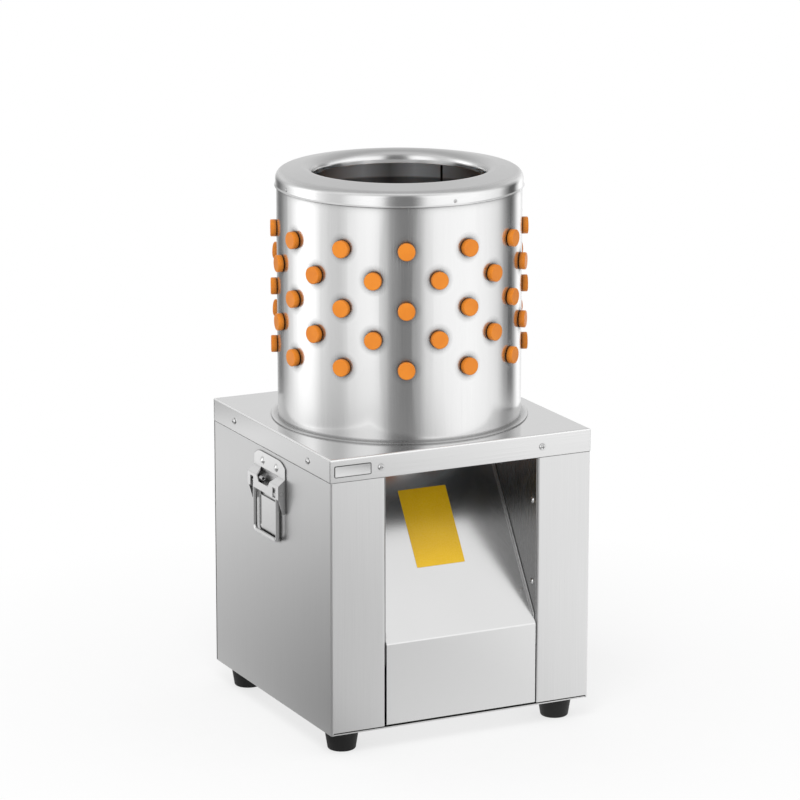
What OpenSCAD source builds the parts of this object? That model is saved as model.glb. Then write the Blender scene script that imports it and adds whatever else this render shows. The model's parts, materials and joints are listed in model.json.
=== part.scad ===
// Small drum plucker for poultry: a folded steel cabinet on rubber feet, a steel drum
// lined with rubber fingers, a belt-driven finger plate and a sloped discharge chute.
// The front faces -Y, +Z is up, and the floor lies at Z = 0 under the middle of the cabinet.

/* [Cabinet] */
// Width of the cabinet, left to right
body_w = 350; // [340:1:400]
// Depth of the cabinet, front to back
body_d = 344; // [340:1:400]
// Height of the cabinet, from its underside to its top
body_h = 343; // [335:1:380]
// Thickness of the panel sheet
sheet = 1.2; // [1:0.1:1.5]
// Thickness of the top cap's sheet
cap_sheet = 1.5; // [1.2:0.1:2]
// Thickness of the bottom pan's sheet
pan_sheet = 1.5; // [1.2:0.1:2]
// Height of the cap's folded skirt
skirt_h = 28.5; // [24:0.5:36]
// Radius of the sheet bends, at the middle of the sheet
bend_r = 1.8; // [1.4:0.1:3]
// Width of each front column
column_w = 72; // [66:1:80]
// Width of the flanges that are folded inwards
return_w = 20; // [18:1:26]
// Height of the slit under the front sheets
front_slit = 3; // [2:0.5:4]
// Height of the strips that stand up behind the cap's skirt
tab_h = 24; // [22:1:26]

/* [Feet] */
// Height of a foot
foot_h = 28; // [22:1:40]
// Diameter of a foot where it meets the cabinet
foot_top_d = 43; // [36:1:50]
// Diameter of a foot at the floor
foot_floor_d = 35; // [30:1:42]
// Distance of the feet from the cabinet's sides
foot_inset_x = 29; // [26:1:60]
// Distance of the feet from the cabinet's front and back
foot_inset_y = 33; // [28:1:60]

/* [Chute] */
// Height of the apron's fold above the cabinet's underside
apron_h = 105; // [95:1:115]
// Slope of the chute, from level, in degrees
chute_deg = 57; // [52:1:59]
// Level run of the slope, from the front to its back wall
chute_run = 124; // [110:1:126]
// Height of the lips along the slope's sides
chute_lip = 4; // [3:0.5:8]

/* [Drum] */
// Outer diameter of the drum
drum_d = 300; // [290:1:310]
// Thickness of the drum's wall
drum_sheet = 1.5; // [1:0.1:2]
// Height of the drum's wall
drum_h = 296; // [288:1:318]
// Width of the flange at the drum's foot
drum_flange_w = 8; // [6:0.5:10]
// Number of rows of fingers
finger_rows = 5; // [3:1:5]
// Number of fingers in a row
row_fingers = 12; // [8:1:12]
// Distance between the rows
row_pitch = 36.2; // [32:0.1:40]
// Height of the lowest row above the cabinet's top
row_z = 90; // [88:1:96]
// Turn of the first column from the front, in degrees
row_turn = -22.9; // [-30:0.1:30]

/* [Rim] */
// Thickness of the rim's sheet
rim_sheet = 1.2; // [0.8:0.1:1.5]
// Height of the rim's skirt up to the corner of its shoulder
rim_skirt_h = 17; // [14:0.5:22]
// Radius of the shoulder
rim_shoulder_r = 10; // [6:0.5:11]
// Rise of the crown from the shoulder's corner to the ridge
rim_rise = 8; // [5:0.5:9]
// Radius of the bend from the ridge into the mouth
ridge_r = 13; // [8:0.5:14]
// Diameter of the mouth at the lip's lower edge
mouth_d = 210; // [200:1:216]
// Depth of the lip below the ridge
mouth_lip = 18.5; // [16:0.5:20]
// Slant of the lip, in degrees
lip_deg = 84; // [74:1:86]
// Flare of the skirt's lower edge
rim_flare = 1.2; // [0.8:0.2:1.6]

/* [Fingers] */
// Diameter of a finger's head
head_d = 21; // [18:0.5:23]
// Height of a finger's head
head_h = 7.5; // [5:0.5:8]
// Diameter of the neck that fills the hole
neck_d = 12.6; // [10:0.2:14]
// Diameter of the bead behind the hole
bead_d = 17; // [15:0.5:19]
// Length of the finger past the bead
finger_len = 52; // [40:1:54]
// Diameter of the finger over its first rib
rib_d = 15; // [13:0.5:16]
// Diameter of the finger over its last rib
tip_d = 11; // [9:0.5:12]
// Number of ribs
rib_count = 6; // [4:1:8]
// Depth of a rib
rib_depth = 1.2; // [0.8:0.1:1.6]

/* [Rotor] */
// Diameter of the finger plate
plate_d = 284; // [270:1:286]
// Thickness of the finger plate
plate_t = 4; // [3:0.5:5]
// Height of the plate's underside above the cabinet's top
plate_z = 13; // [12:0.5:14]
// Radius of the inner ring of plate fingers
inner_ring_r = 64; // [62:1:72]
// Radius of the outer ring of plate fingers
outer_ring_r = 112; // [102:1:118]
// Diameter of the drive shaft
shaft_d = 20; // [18:1:22]
// Diameter of the hub's flange
hub_d = 72; // [66:1:80]
// Pitch diameter of the driven pulley
driven_d = 150; // [120:1:156]
// Pitch diameter of the motor pulley
driver_d = 50; // [46:1:60]

/* [Drive] */
// Height of the drive plate's top above the cabinet's underside
drive_z = 122; // [110:1:130]
// Thickness of the drive plate
drive_sheet = 3; // [2.5:0.5:4]
// Motor's place to the left of the drive shaft
motor_x = 82; // [80:1:90]
// Motor's place behind the drive shaft
motor_y = 92; // [88:1:96]
// Diameter of the motor's body over its fins
motor_d = 120; // [110:1:126]
// Length of the motor's body between its shields
motor_len = 118; // [100:1:140]
// Diameter of the motor's shaft
motor_shaft_d = 14; // [12:1:16]

/* [Handles] */
// Width of a handle's bracket
handle_w = 90; // [84:1:100]
// Drop of the bail's pivot below the top of the side panels
handle_drop = 43; // [42:1:70]
// Thickness of the bracket's sheet
handle_sheet = 1.4; // [1.2:0.1:1.6]
// Distance that the bracket's strap stands out from the cabinet
strap_out = 10.5; // [10:0.5:13]
// Diameter of the bail's wire
bail_d = 5; // [4:0.5:5]
// Spacing of the bail's legs
bail_w = 66; // [60:1:68]
// Drop of the bail, from its pivot to its lower bar
bail_drop = 62; // [50:1:80]
// Spacing of the bracket's rivets
rivet_gap = 40; // [30:1:46]

/* [Controls] */
// Height of the switch's middle above the cabinet's underside
switch_z = 200; // [180:1:215]
// Distance of the switch behind the cabinet's middle
switch_y = 95; // [85:1:105]
// Diameter of a push button
button_d = 21; // [18:0.5:23]
// Travel of a push button
button_travel = 3; // [2:0.5:4]

/* [Hidden] */
$fn = 64;

// Clearances
fit_gap = 0.1;
run_gap = 0.05;
slip_gap = 0.02;
seam_gap = 0.5;
soft_gap = 0.3;
cut_past = 1;

// Fasteners
screw_r = 2;
rim_screw_r = 1;
bolt_r = 3;
bearing_bolt_r = 5;
cap_screw_len = 8;
back_screw_len = 6;
rim_screw_len = 4;
cap_screw_in = 5.5;
cap_screw_end = 63.5;
chute_screw_in = 11;
chute_screw_low = 156;
chute_screw_high = 259;
back_screw_end = 40;

// Levels and faces of the cabinet
half_w = body_w / 2;
half_d = body_d / 2;
floor_z = foot_h;
cap_z = foot_h + body_h;
cap_under = cap_z - cap_sheet;
skirt_z = cap_z - skirt_h;
wall_top = skirt_z - seam_gap;
pan_top = floor_z + pan_sheet;
slit_top = floor_z + front_slit;
tab_in = max(cap_sheet + fit_gap, sheet);
cap_screw_z = skirt_z + 0.45 * skirt_h;
back_screw_levels = [floor_z + back_screw_end, (floor_z + wall_top) / 2, wall_top - back_screw_end];
cap_inner_r = 0.7;
cap_edge_r = cap_sheet + cap_inner_r;
pan_flange_h = 18;
bend_steps = 5;

// Chute
opening_half = half_w - column_w;
cheek_in = opening_half - sheet;
chute_half = cheek_in - soft_gap;
apron_gap = 1.7;
apron_half = opening_half - apron_gap;
cheek_front = -half_d + cap_sheet + soft_gap;
fold_z = floor_z + apron_h;
fold_y = -half_d + sheet / 2;
slope_y = fold_y + chute_run;
slope_z = fold_z + chute_run * tan(chute_deg);
chute_flange_w = 12;
cheek_skirt = 26;
outlet_in = 8;
outlet_r = drum_d / 2 - drum_sheet - outlet_in;
outlet_side = 4;

// Drum and rim
drum_r = drum_d / 2;
drum_in_r = drum_r - drum_sheet;
drum_top = cap_z + drum_h;
row_step = 360 / row_fingers;
bead_sag = drum_in_r - sqrt(drum_in_r * drum_in_r - bead_d * bead_d / 4);
rim_seat_gap = 0.2;
rim_r = drum_r + rim_seat_gap + rim_sheet / 2;
// Share of the shoulder's radius that its bend takes from the skirt
shoulder_share = 0.85;
rim_lap = rim_skirt_h - shoulder_share * rim_shoulder_r;
rim_low_z = drum_top - rim_lap;
rim_shoulder_z = rim_low_z + rim_skirt_h;
rim_ridge_z = rim_shoulder_z + rim_rise;
mouth_r = mouth_d / 2 + rim_sheet / 2;
rim_flare_h = 2.2;
rim_flare_r = 2.5;
rim_steps = 18;
rim_screw_above = 5.2;
rim_screw_z = rim_low_z + rim_screw_above;
rim_screws_count = 4;

// Rotor
plate_low = cap_z + plate_z;
plate_top = plate_low + plate_t;
shaft_r = shaft_d / 2;
shaft_step = 2;
shaft_end_r = shaft_r - shaft_step;
shaft_end_h = 8;
shaft_room = 3;
shaft_hole_r = shaft_r + shaft_room;
hub_flange_t = 5;
hub_wall = 9;
hub_boss_d = shaft_d + 2 * hub_wall;
hub_bolt_in = 8;
hub_bolt_ring = hub_d / 2 - hub_bolt_in;
inner_ring_count = 6;
outer_ring_count = 12;
cap_dome_r = 22;
cap_dome_top = 6;
cap_dome_h = shaft_end_h + cap_dome_top;
key_w = 6;
key_h = 6;
key_len = 9;
pulley_key_len = 20;

// Bearing units
bearing_r = 23.5;
bearing_body_r = 30;
bearing_lobe_r = 13;
bearing_bolt_x = 45;
bearing_flange_t = 10;
bearing_h = 25;
bearing_ring_h = 14;
bearing_collar_t = 4.4;
bearing_collar_r = shaft_r + bearing_collar_t;
bearing_collar_h = 6;
bolt_head_h = 4;

// Belt drive
drive_top = floor_z + drive_z;
drive_low = drive_top - drive_sheet;
drive_flange_h = 24;
drive_front = -52;
drive_back = half_d - 2 * sheet - soft_gap;
belt_top_w = 13;
belt_low_w = 8.6;
belt_above = 3;
belt_below = 5;
groove_gap = 0.35;
pulley_w = 22;
belt_drop = 22;
shaft_past = 8;
belt_z = drive_low - belt_drop;
shaft_low = belt_z - pulley_w / 2 - shaft_past;
driven_r = driven_d / 2;
driver_r = driver_d / 2;
centre_gap = norm([motor_x, motor_y]);
belt_turn = 180 - atan2(motor_y, motor_x);
belt_open = acos((driven_r - driver_r) / centre_gap);
belt_run = sqrt(centre_gap * centre_gap - pow(driven_r - driver_r, 2));
belt_join = 0.03;
belt_lap = 0.8;
web_holes = 5;

// Motor
motor_r = motor_d / 2;
fin_h = 7;
motor_core_r = motor_r - fin_h;
fin_count = 24;
fin_t = 2.4;
shield_h = 16;
fan_cover_h = 44;
motor_low = drive_top + shield_h;
motor_shaft_past = 2;
motor_shaft_low = belt_z - pulley_w / 2 - motor_shaft_past;
motor_high = motor_low + motor_len;
motor_bolt_in = 9;
motor_bolt_ring = motor_r - motor_bolt_in;
motor_bore_room = 6;
motor_bore_r = motor_shaft_d / 2 + motor_bore_room;
slot_len = 10;
capacitor_r = 20;
capacitor_h = 72;
capacitor_x = 82;
capacitor_y = 118;

// Handles
strap_below = 7;
strap_above = 10;
strap_step = 7;
plate_above = 21;
rivet_above = 10;
notch_above = 3;
slot_above = 6;
ear_below = 26;
stop_below = 12;
stop_past = 3;
stop_gap = 0.5;
leg_room = 4;
pivot_z = wall_top - handle_drop;
pivot_out = strap_out - handle_sheet - bail_d / 2 - soft_gap;
strap_low = pivot_z - strap_below;
strap_front_z = pivot_z + strap_above;
strap_bend_z = strap_front_z + strap_step;
bracket_top = strap_bend_z + plate_above;
crop_y = 20;
crop_z = 7.5;
crop_r = (crop_y * crop_y + crop_z * crop_z) / (2 * crop_z);
notch_top_w = 52;
notch_low_w = 28;
notch_low = pivot_z + notch_above;
leg_slot_w = bail_d + leg_room;
leg_slot_top = pivot_z + slot_above;
ear_low = pivot_z - ear_below;
ear_r = strap_out / 4;
rivet_z = strap_bend_z + rivet_above;
rivet_r = 2.5;
bail_bend_r = 6;
stop_w = bail_w - bail_d - 2 * stop_gap;
stop_top = pivot_z - stop_below;
stop_low = pivot_z - bail_drop - stop_past;
stop_sheet = 1.2;
stop_out = pivot_out - bail_d / 2 - stop_gap;
stop_corner_r = 7;
stop_border = 4;

// Controls
switch_w = 54;
switch_h = 78;
switch_t = 4;
switch_box_w = 46;
switch_box_h = 68;
switch_box_depth = 38;
switch_corner_r = 6;
button_gap = 34;
button_out = 5;
button_r = button_d / 2;
button_in = 12;
grommet_in = 55;
grommet_up = 45;
grommet_x = half_w - grommet_in;
grommet_z = floor_z + grommet_up;
grommet_r = 13;
grommet_neck_r = 9;
grommet_bore_r = 4.5;
grommet_flange = 2.2;
slot_rows = 6;
slot_w = 44;
slot_h = 4;
slot_pitch = 11;
slot_x = 62;
slot_drop = 134;
slot_low = wall_top - slot_drop;

// Unit vector, signed turn at a corner, and the straight length that a bend takes up
function unit(v) = v / norm(v);
function left_of(v) = [-v[1], v[0]];
function turn(a, b, c) =
    let (u = unit(b - a), v = unit(c - b))
    atan2(u[0] * v[1] - u[1] * v[0], u * v);
function setback(a, b, c, r) = r * tan(abs(turn(a, b, c)) / 2);

// Points of one bend, on the side of the sheet that lies off to the left of the path
function bend(a, b, c, r, off, steps) =
    let (u = unit(b - a),
        angle = turn(a, b, c),
        hand = sign(angle),
        inward = left_of(u) * hand,
        centre = b - u * setback(a, b, c, r) + inward * r,
        heading = atan2(-inward[1], -inward[0]))
    [for (k = [0 : steps])
        centre + (r - hand * off) * [cos(heading + angle * k / steps), sin(heading + angle * k / steps)]];

// One side of a bent sheet, from the path along the middle of the sheet
function sheet_side(path, radii, off, steps) =
    let (last = len(path) - 1)
    concat([path[0] + off * left_of(unit(path[1] - path[0]))],
        [for (i = [1 : last - 1])
            each bend(path[i - 1], path[i], path[i + 1], radii[i - 1], off, steps)],
        [path[last] + off * left_of(unit(path[last] - path[last - 1]))]);

function backwards(points) = [for (i = [len(points) - 1 : -1 : 0]) points[i]];

// Section of a sheet bent along a path, with one radius for each corner
module bent_sheet(path, t, radii, steps = bend_steps)
    polygon(concat(sheet_side(path, radii, t / 2, steps),
        backwards(sheet_side(path, radii, -t / 2, steps))));

// Rectangle with round corners, centred
module round_rect(w, h, r) {
    square([w - 2 * r, h], center = true);
    square([w, h - 2 * r], center = true);
    for (x = [-1, 1], y = [-1, 1])
        translate([x * (w / 2 - r), y * (h / 2 - r)])
            circle(r);
}

// A section in X and Z carried along Y, and a section in Y and Z carried along X
module along_y(length)
    rotate([90, 0, 0])
        linear_extrude(length, center = true)
            children();

module along_x(length)
    rotate([90, 0, 90])
        linear_extrude(length, center = true)
            children();

// Pan-head screw with a cross recess, its head standing on Z = 0 and its shank below
module pan_screw(r, length) {
    head_r = 2 * r;
    head_top = 1.2 * r;
    dome_r = (head_r * head_r + head_top * head_top) / (2 * head_top);
    recess = [0.5 * r, 2.2 * r, head_top];
    difference() {
        intersection() {
            cylinder(r = head_r, h = head_top);
            translate([0, 0, head_top - dome_r + 0.2 * r])
                sphere(dome_r);
        }
        for (a = [0, 90])
            rotate([0, 0, a])
                translate([-recess[0] / 2, -recess[1] / 2, 0.6 * head_top])
                    cube(recess);
    }
    translate([0, 0, -length])
        cylinder(r = r, h = length);
}

module screw_hole(r)
    cylinder(r = r + fit_gap, h = 12, center = true);

// Hexagon bolt, its head below Z = 0 and its shank above
module hex_bolt(r, length, head) {
    translate([0, 0, -head])
        cylinder(r = 1.75 * r, h = head, $fn = 6);
    cylinder(r = r, h = length);
}

module hex_nut(r)
    difference() {
        cylinder(r = 1.75 * r, h = 1.4 * r, $fn = 6);
        translate([0, 0, -cut_past])
            cylinder(r = r + slip_gap, h = 1.4 * r + 2 * cut_past);
    }

// Places of the cap's screws: two on each side of the skirt
module at_cap_screws() {
    for (side = [-1, 1], along = [-1, 1]) {
        translate([side * half_w, along * (half_d - cap_screw_end), cap_screw_z])
            rotate([0, side * 90, 0])
                children();
        translate([along * (opening_half + cap_screw_in), side * half_d, cap_screw_z])
            rotate([-side * 90, 0, 0])
                children();
    }
}

// Places of the screws that hold the back panel
module at_back_screws()
    for (side = [-1, 1], level = back_screw_levels)
        translate([side * (half_w - return_w / 2), half_d, level])
            rotate([-90, 0, 0])
                children();

// Places of the screws that hold the chute's cheeks to the columns
module at_chute_screws()
    for (side = [-1, 1], level = [chute_screw_low, chute_screw_high])
        translate([side * cheek_in, -half_d + chute_screw_in, floor_z + level])
            rotate([0, -side * 90, 0])
                children();

module at_rim_screws()
    for (k = [0 : rim_screws_count - 1])
        rotate([0, 0, k * 360 / rim_screws_count])
            translate([0, -(rim_r + rim_sheet / 2 + run_gap), rim_screw_z])
                rotate([90, 0, 0])
                    children();

module at_rivets()
    for (side = [-1, 1], along = [-1, 1])
        translate([side * half_w, along * rivet_gap / 2, rivet_z])
            rotate([0, side * 90, 0])
                children();

module at_feet()
    for (x = [-1, 1], y = [-1, 1])
        translate([x * (half_w - foot_inset_x), y * (half_d - foot_inset_y), 0])
            children();

// Side panel on the left: side wall, front column and the flanges folded inwards
module side_panel() {
    mid = sheet / 2;
    path = [
        [-half_w + return_w, half_d - sheet - mid],
        [-half_w + mid, half_d - sheet - mid],
        [-half_w + mid, -half_d + mid],
        [-half_w + column_w - mid, -half_d + mid],
        [-half_w + column_w - mid, -half_d + return_w]
    ];
    tab_from = bend_r + sheet;
    side_tab = body_d - 2 * return_w - 2 * tab_from;
    front_tab = column_w - return_w - sheet;
    difference() {
        union() {
            translate([0, 0, floor_z])
                linear_extrude(wall_top - floor_z)
                    bent_sheet(path, sheet, [bend_r, bend_r, bend_r]);
            translate([-half_w + sheet, -side_tab / 2, wall_top - tab_h])
                cube([tab_in, side_tab, tab_h]);
            translate([-half_w + tab_in, -side_tab / 2, wall_top - tab_h])
                cube([sheet, side_tab, 2 * tab_h]);
            translate([-half_w + return_w, -half_d + sheet, wall_top - tab_h])
                cube([front_tab, tab_in, tab_h]);
            translate([-half_w + return_w, -half_d + tab_in, wall_top - tab_h])
                cube([front_tab, sheet, 2 * tab_h]);
        }
        translate([-half_w + bend_r + sheet, -half_d - cut_past, floor_z - cut_past])
            cube([column_w, return_w + 2 * cut_past, front_slit + cut_past]);
        at_cap_screws() screw_hole(screw_r);
        at_back_screws() screw_hole(screw_r);
        at_chute_screws() screw_hole(screw_r);
        at_rivets() screw_hole(rivet_r);
    }
}

module left_panel()
    color("gainsboro")
        side_panel();

module right_panel()
    color("gainsboro")
        difference() {
            mirror([1, 0, 0])
                side_panel();
            translate([half_w, switch_y, floor_z + switch_z])
                along_x(4 * return_w)
                    square([switch_box_w + 2 * fit_gap, switch_box_h + 2 * fit_gap], center = true);
        }

// Removable back panel with air slots for the motor
module back_panel() {
    tab_half = half_w - return_w - 3 * sheet;
    color("gainsboro")
        difference() {
            union() {
                translate([-half_w + fit_gap, half_d - sheet, floor_z])
                    cube([body_w - 2 * fit_gap, sheet, wall_top - floor_z]);
                translate([-tab_half, half_d - sheet - tab_in, wall_top - tab_h])
                    cube([2 * tab_half, tab_in, tab_h]);
                translate([-tab_half, half_d - sheet - tab_in, wall_top - tab_h])
                    cube([2 * tab_half, sheet, 2 * tab_h]);
            }
            at_cap_screws() screw_hole(screw_r);
            at_back_screws() screw_hole(screw_r);
            translate([grommet_x, half_d, grommet_z])
                rotate([90, 0, 0])
                    cylinder(r = grommet_neck_r + fit_gap, h = 8 * sheet, center = true);
            for (x = [-slot_x, slot_x], k = [0 : slot_rows - 1])
                translate([x, half_d, slot_low + k * slot_pitch])
                    along_y(8 * sheet)
                        round_rect(slot_w, slot_h, slot_h / 2 - fit_gap);
        }
}

// Bottom pan, with flanges up the sides and the back
module bottom_pan() {
    wide = body_w - 2 * sheet;
    corner = bend_r + sheet + soft_gap;
    back = half_d - 2 * sheet;
    front = -half_d + sheet / 2;
    flange_front = -half_d + return_w;
    flange_mid = (back + flange_front) / 2;
    color("silver")
        difference() {
            union() {
                translate([-wide / 2, -half_d + corner, floor_z])
                    cube([wide, half_d + back - corner, pan_sheet]);
                translate([-half_w + corner, front, floor_z])
                    cube([body_w - 2 * corner, corner + pan_sheet, pan_sheet]);
                for (side = [-1, 1])
                    translate([side * (wide - pan_sheet) / 2, flange_mid, floor_z + pan_flange_h / 2])
                        cube([pan_sheet, back - flange_front, pan_flange_h], center = true);
                translate([-wide / 2, back - pan_sheet, floor_z])
                    cube([wide, pan_sheet, pan_flange_h]);
            }
            at_feet()
                translate([0, 0, floor_z])
                    screw_hole(bolt_r);
        }
}

// Top cap: a tray folded from one sheet, with the outlet, the shaft's hole and corner joints
module cap_block(inset, top) {
    r = cap_edge_r - inset;
    w = body_w - 2 * inset;
    d = body_d - 2 * inset;
    h = top - skirt_z + r;
    intersection() {
        translate([0, 0, top - h / 2])
            along_y(body_d)
                round_rect(w, h, r);
        translate([0, 0, top - h / 2])
            along_x(body_w)
                round_rect(d, h, r);
    }
}

module outlet_shape()
    intersection() {
        circle(outlet_r);
        translate([-chute_half + outlet_side, -half_d])
            square([2 * (chute_half - outlet_side), half_d + slope_y - outlet_side]);
    }

module top_cap() {
    slit = 0.5;
    slit_h = skirt_h - cap_edge_r;
    color("silver")
        difference() {
            cap_block(0, cap_z);
            translate([0, 0, skirt_z - 2 * cap_edge_r])
                translate([-half_w - cut_past, -half_d - cut_past, 0])
                    cube([body_w + 2 * cut_past, body_d + 2 * cut_past, 2 * cap_edge_r]);
            translate([-half_w + cap_sheet, -half_d + cap_sheet, skirt_z - cut_past])
                cube([body_w - 2 * cap_sheet, body_d - 2 * cap_sheet, cap_under - skirt_z + cut_past]);
            for (x = [-1, 1], y = [-1, 1])
                translate([x * half_w, y * (half_d - cap_sheet - slit / 2), skirt_z + slit_h / 2])
                    cube([3 * cap_sheet, slit, slit_h], center = true);
            translate([0, 0, cap_under - cut_past])
                linear_extrude(cap_sheet + 2 * cut_past)
                    outlet_shape();
            translate([0, 0, cap_under - cut_past])
                cylinder(r = shaft_hole_r, h = cap_sheet + 2 * cut_past);
            at_cap_screws() screw_hole(screw_r);
            for (side = [-1, 1])
                translate([side * bearing_bolt_x, 0, cap_z])
                    screw_hole(bearing_bolt_r);
        }
}

module cap_screws()
    color("lightgray")
        at_cap_screws() pan_screw(screw_r, cap_screw_len);

module back_screws()
    color("lightgray")
        at_back_screws() pan_screw(screw_r, back_screw_len);

// Chute: apron, slope, back wall and top flange in one bent sheet, with lips up its sides
module chute_slope() {
    mid = sheet / 2;
    path = [
        [fold_y + return_w, slit_top + mid],
        [fold_y, slit_top + mid],
        [fold_y, fold_z],
        [slope_y, slope_z],
        [slope_y, cap_under - mid],
        [slope_y + chute_flange_w, cap_under - mid]
    ];
    rise = tan(chute_deg);
    lip_up = chute_lip / cos(chute_deg);
    lip_from = 3;
    trim = chute_half - apron_half;
    color("whitesmoke")
        difference() {
            union() {
                along_x(2 * chute_half)
                    bent_sheet(path, sheet, [bend_r, 2 * bend_r, 2 * bend_r, bend_r]);
                for (side = [-1, 1])
                    translate([side * (chute_half - mid), 0, 0])
                        along_x(sheet)
                            polygon([
                                [fold_y + lip_from, fold_z + lip_from * rise],
                                [slope_y, slope_z],
                                [slope_y, slope_z + lip_up],
                                [fold_y + lip_from, fold_z + lip_from * rise + lip_up]
                            ]);
            }
            for (side = [-1, 1])
                translate([side * (apron_half + trim / 2), fold_y, (slit_top + fold_z) / 2])
                    cube([trim, 4 * bend_r, fold_z - slit_top + 4 * bend_r], center = true);
        }
}

module chute_cheek() {
    back = slope_y + chute_flange_w;
    low = fold_z - cheek_skirt;
    difference() {
        translate([-cheek_in - sheet / 2, 0, 0])
            along_x(sheet)
                polygon([
                    [cheek_front, low],
                    [cheek_front, cap_under],
                    [back, cap_under],
                    [back, low + (back - cheek_front) * tan(chute_deg)]
                ]);
        at_chute_screws() screw_hole(screw_r);
    }
}

module chute_cheek_left()
    color("whitesmoke")
        chute_cheek();

module chute_cheek_right()
    color("whitesmoke")
        mirror([1, 0, 0])
            chute_cheek();

module chute_screws()
    color("lightgray")
        at_chute_screws() pan_screw(screw_r, back_screw_len);

// Places of one row of fingers: a finger's own +Z points into the drum
module at_row(row)
    for (k = [0 : row_fingers - 1])
        rotate([0, 0, row_turn + row_step * (k + (row % 2) / 2)])
            translate([0, -drum_r, cap_z + row_z + row * row_pitch])
                rotate([-90, 0, 0])
                    children();

module drum()
    color("lightgray")
        difference() {
            rotate_extrude()
                union() {
                    translate([drum_in_r, cap_z])
                        square([drum_sheet, drum_h]);
                    translate([drum_in_r, cap_z])
                        square([drum_sheet + drum_flange_w, drum_sheet]);
                }
            for (row = [0 : finger_rows - 1])
                at_row(row)
                    cylinder(r = neck_d / 2 + fit_gap, h = 8 * drum_sheet, center = true);
            at_rim_screws()
                screw_hole(rim_screw_r);
        }

// Rubber finger: a bevelled head, a neck for a wall of the given thickness, a bead and a
// ribbed shaft that tapers to its tip. The head's seat is at Z = 0 and the tip points up.
module finger(wall) {
    bevel = 0.8;
    bead_h = 3;
    root = wall + bead_h;
    pitch = (finger_len - bead_h) / rib_count;
    ribs = [for (k = [0 : rib_count - 1])
        let (over = (rib_d + (tip_d - rib_d) * k / (rib_count - 1)) / 2)
        each [[over - rib_depth, root + pitch * k],
            [over, root + pitch * (k + 0.35)],
            [over, root + pitch * (k + 0.7)]]];
    rotate_extrude()
        polygon(concat(
            [[0, -head_h], [head_d / 2 - bevel, -head_h], [head_d / 2, bevel - head_h],
                [head_d / 2, -bevel / 2], [head_d / 2 - bevel / 2, 0], [neck_d / 2, 0],
                [neck_d / 2, wall], [bead_d / 2, wall], [bead_d / 2, root - bevel]],
            ribs,
            [[tip_d / 2 - 2 * bevel, root + pitch * rib_count], [0, root + pitch * rib_count]]));
}

module finger_row(row)
    color([0.87, 0.55, 0.22])
        if (row < finger_rows)
            at_row(row)
                translate([0, 0, -fit_gap])
                    finger(drum_sheet + 3 * fit_gap + bead_sag);

// The rows, counted from the rim down
module finger_row_1() finger_row(4);
module finger_row_2() finger_row(3);
module finger_row_3() finger_row(2);
module finger_row_4() finger_row(1);
module finger_row_5() finger_row(0);

// Rim: a spun ring with a flared skirt, a round shoulder, a crown that swells to a ridge and
// a lip that rolls down into the mouth
module rim() {
    path = [
        [rim_r + rim_flare, rim_low_z],
        [rim_r, rim_low_z + rim_flare_h],
        [rim_r, rim_shoulder_z],
        [mouth_r + mouth_lip / tan(lip_deg), rim_ridge_z],
        [mouth_r, rim_ridge_z - mouth_lip]
    ];
    color("lightgray")
        difference() {
            rotate_extrude()
                bent_sheet(path, rim_sheet, [rim_flare_r, rim_shoulder_r, ridge_r], rim_steps);
            at_rim_screws()
                screw_hole(rim_screw_r);
        }
}

module rim_screws()
    color("dimgray")
        at_rim_screws() pan_screw(rim_screw_r, rim_screw_len);

// Places on the finger plate
module at_ring(radius, count)
    for (k = [0 : count - 1])
        rotate([0, 0, 360 * k / count])
            translate([radius, 0, plate_low])
                children();

module rotor_plate()
    color("silver")
        difference() {
            translate([0, 0, plate_low])
                cylinder(d = plate_d, h = plate_t);
            at_ring(inner_ring_r, inner_ring_count)
                cylinder(r = neck_d / 2 + fit_gap, h = 4 * plate_t, center = true);
            at_ring(outer_ring_r, outer_ring_count)
                cylinder(r = neck_d / 2 + fit_gap, h = 4 * plate_t, center = true);
            at_ring(hub_bolt_ring, 4)
                cylinder(r = bolt_r + fit_gap, h = 4 * plate_t, center = true);
            translate([0, 0, plate_low - cut_past])
                cylinder(r = shaft_end_r + fit_gap, h = plate_t + 2 * cut_past);
        }

module plate_finger()
    translate([0, 0, -fit_gap])
        finger(plate_t + 2 * fit_gap);

module plate_fingers_inner()
    color([0.87, 0.55, 0.22])
        at_ring(inner_ring_r, inner_ring_count) plate_finger();

module plate_fingers_outer()
    color([0.87, 0.55, 0.22])
        at_ring(outer_ring_r, outer_ring_count) plate_finger();

// Keyway of a bore or a shaft, on its +X side
module key_block(low, length, gap)
    translate([shaft_r - key_h / 2 - gap, -key_w / 2 - gap, low - gap])
        cube([key_h + 2 * gap, key_w + 2 * gap, length + 2 * gap]);

hub_gap = 2;
hub_key_in = 0.5;
hub_low = cap_z + hub_gap;
hub_key_z = hub_low + hub_key_in;
pulley_key_z = belt_z - pulley_key_len / 2;

module hub()
    color("darkgray")
        difference() {
            union() {
                translate([0, 0, plate_low - hub_flange_t])
                    cylinder(d = hub_d, h = hub_flange_t);
                translate([0, 0, hub_low])
                    cylinder(d = hub_boss_d, h = plate_low - hub_low);
            }
            translate([0, 0, hub_low - cut_past])
                cylinder(r = shaft_r + slip_gap, h = plate_low - hub_low + 2 * cut_past);
            key_block(hub_key_z, key_len, slip_gap);
            at_ring(hub_bolt_ring, 4)
                cylinder(r = bolt_r + slip_gap, h = 4 * hub_flange_t, center = true);
        }

module hub_bolts()
    color("lightgray")
        at_ring(hub_bolt_ring, 4)
            translate([0, 0, plate_t])
                pan_screw(bolt_r, plate_t + hub_flange_t);

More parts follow.
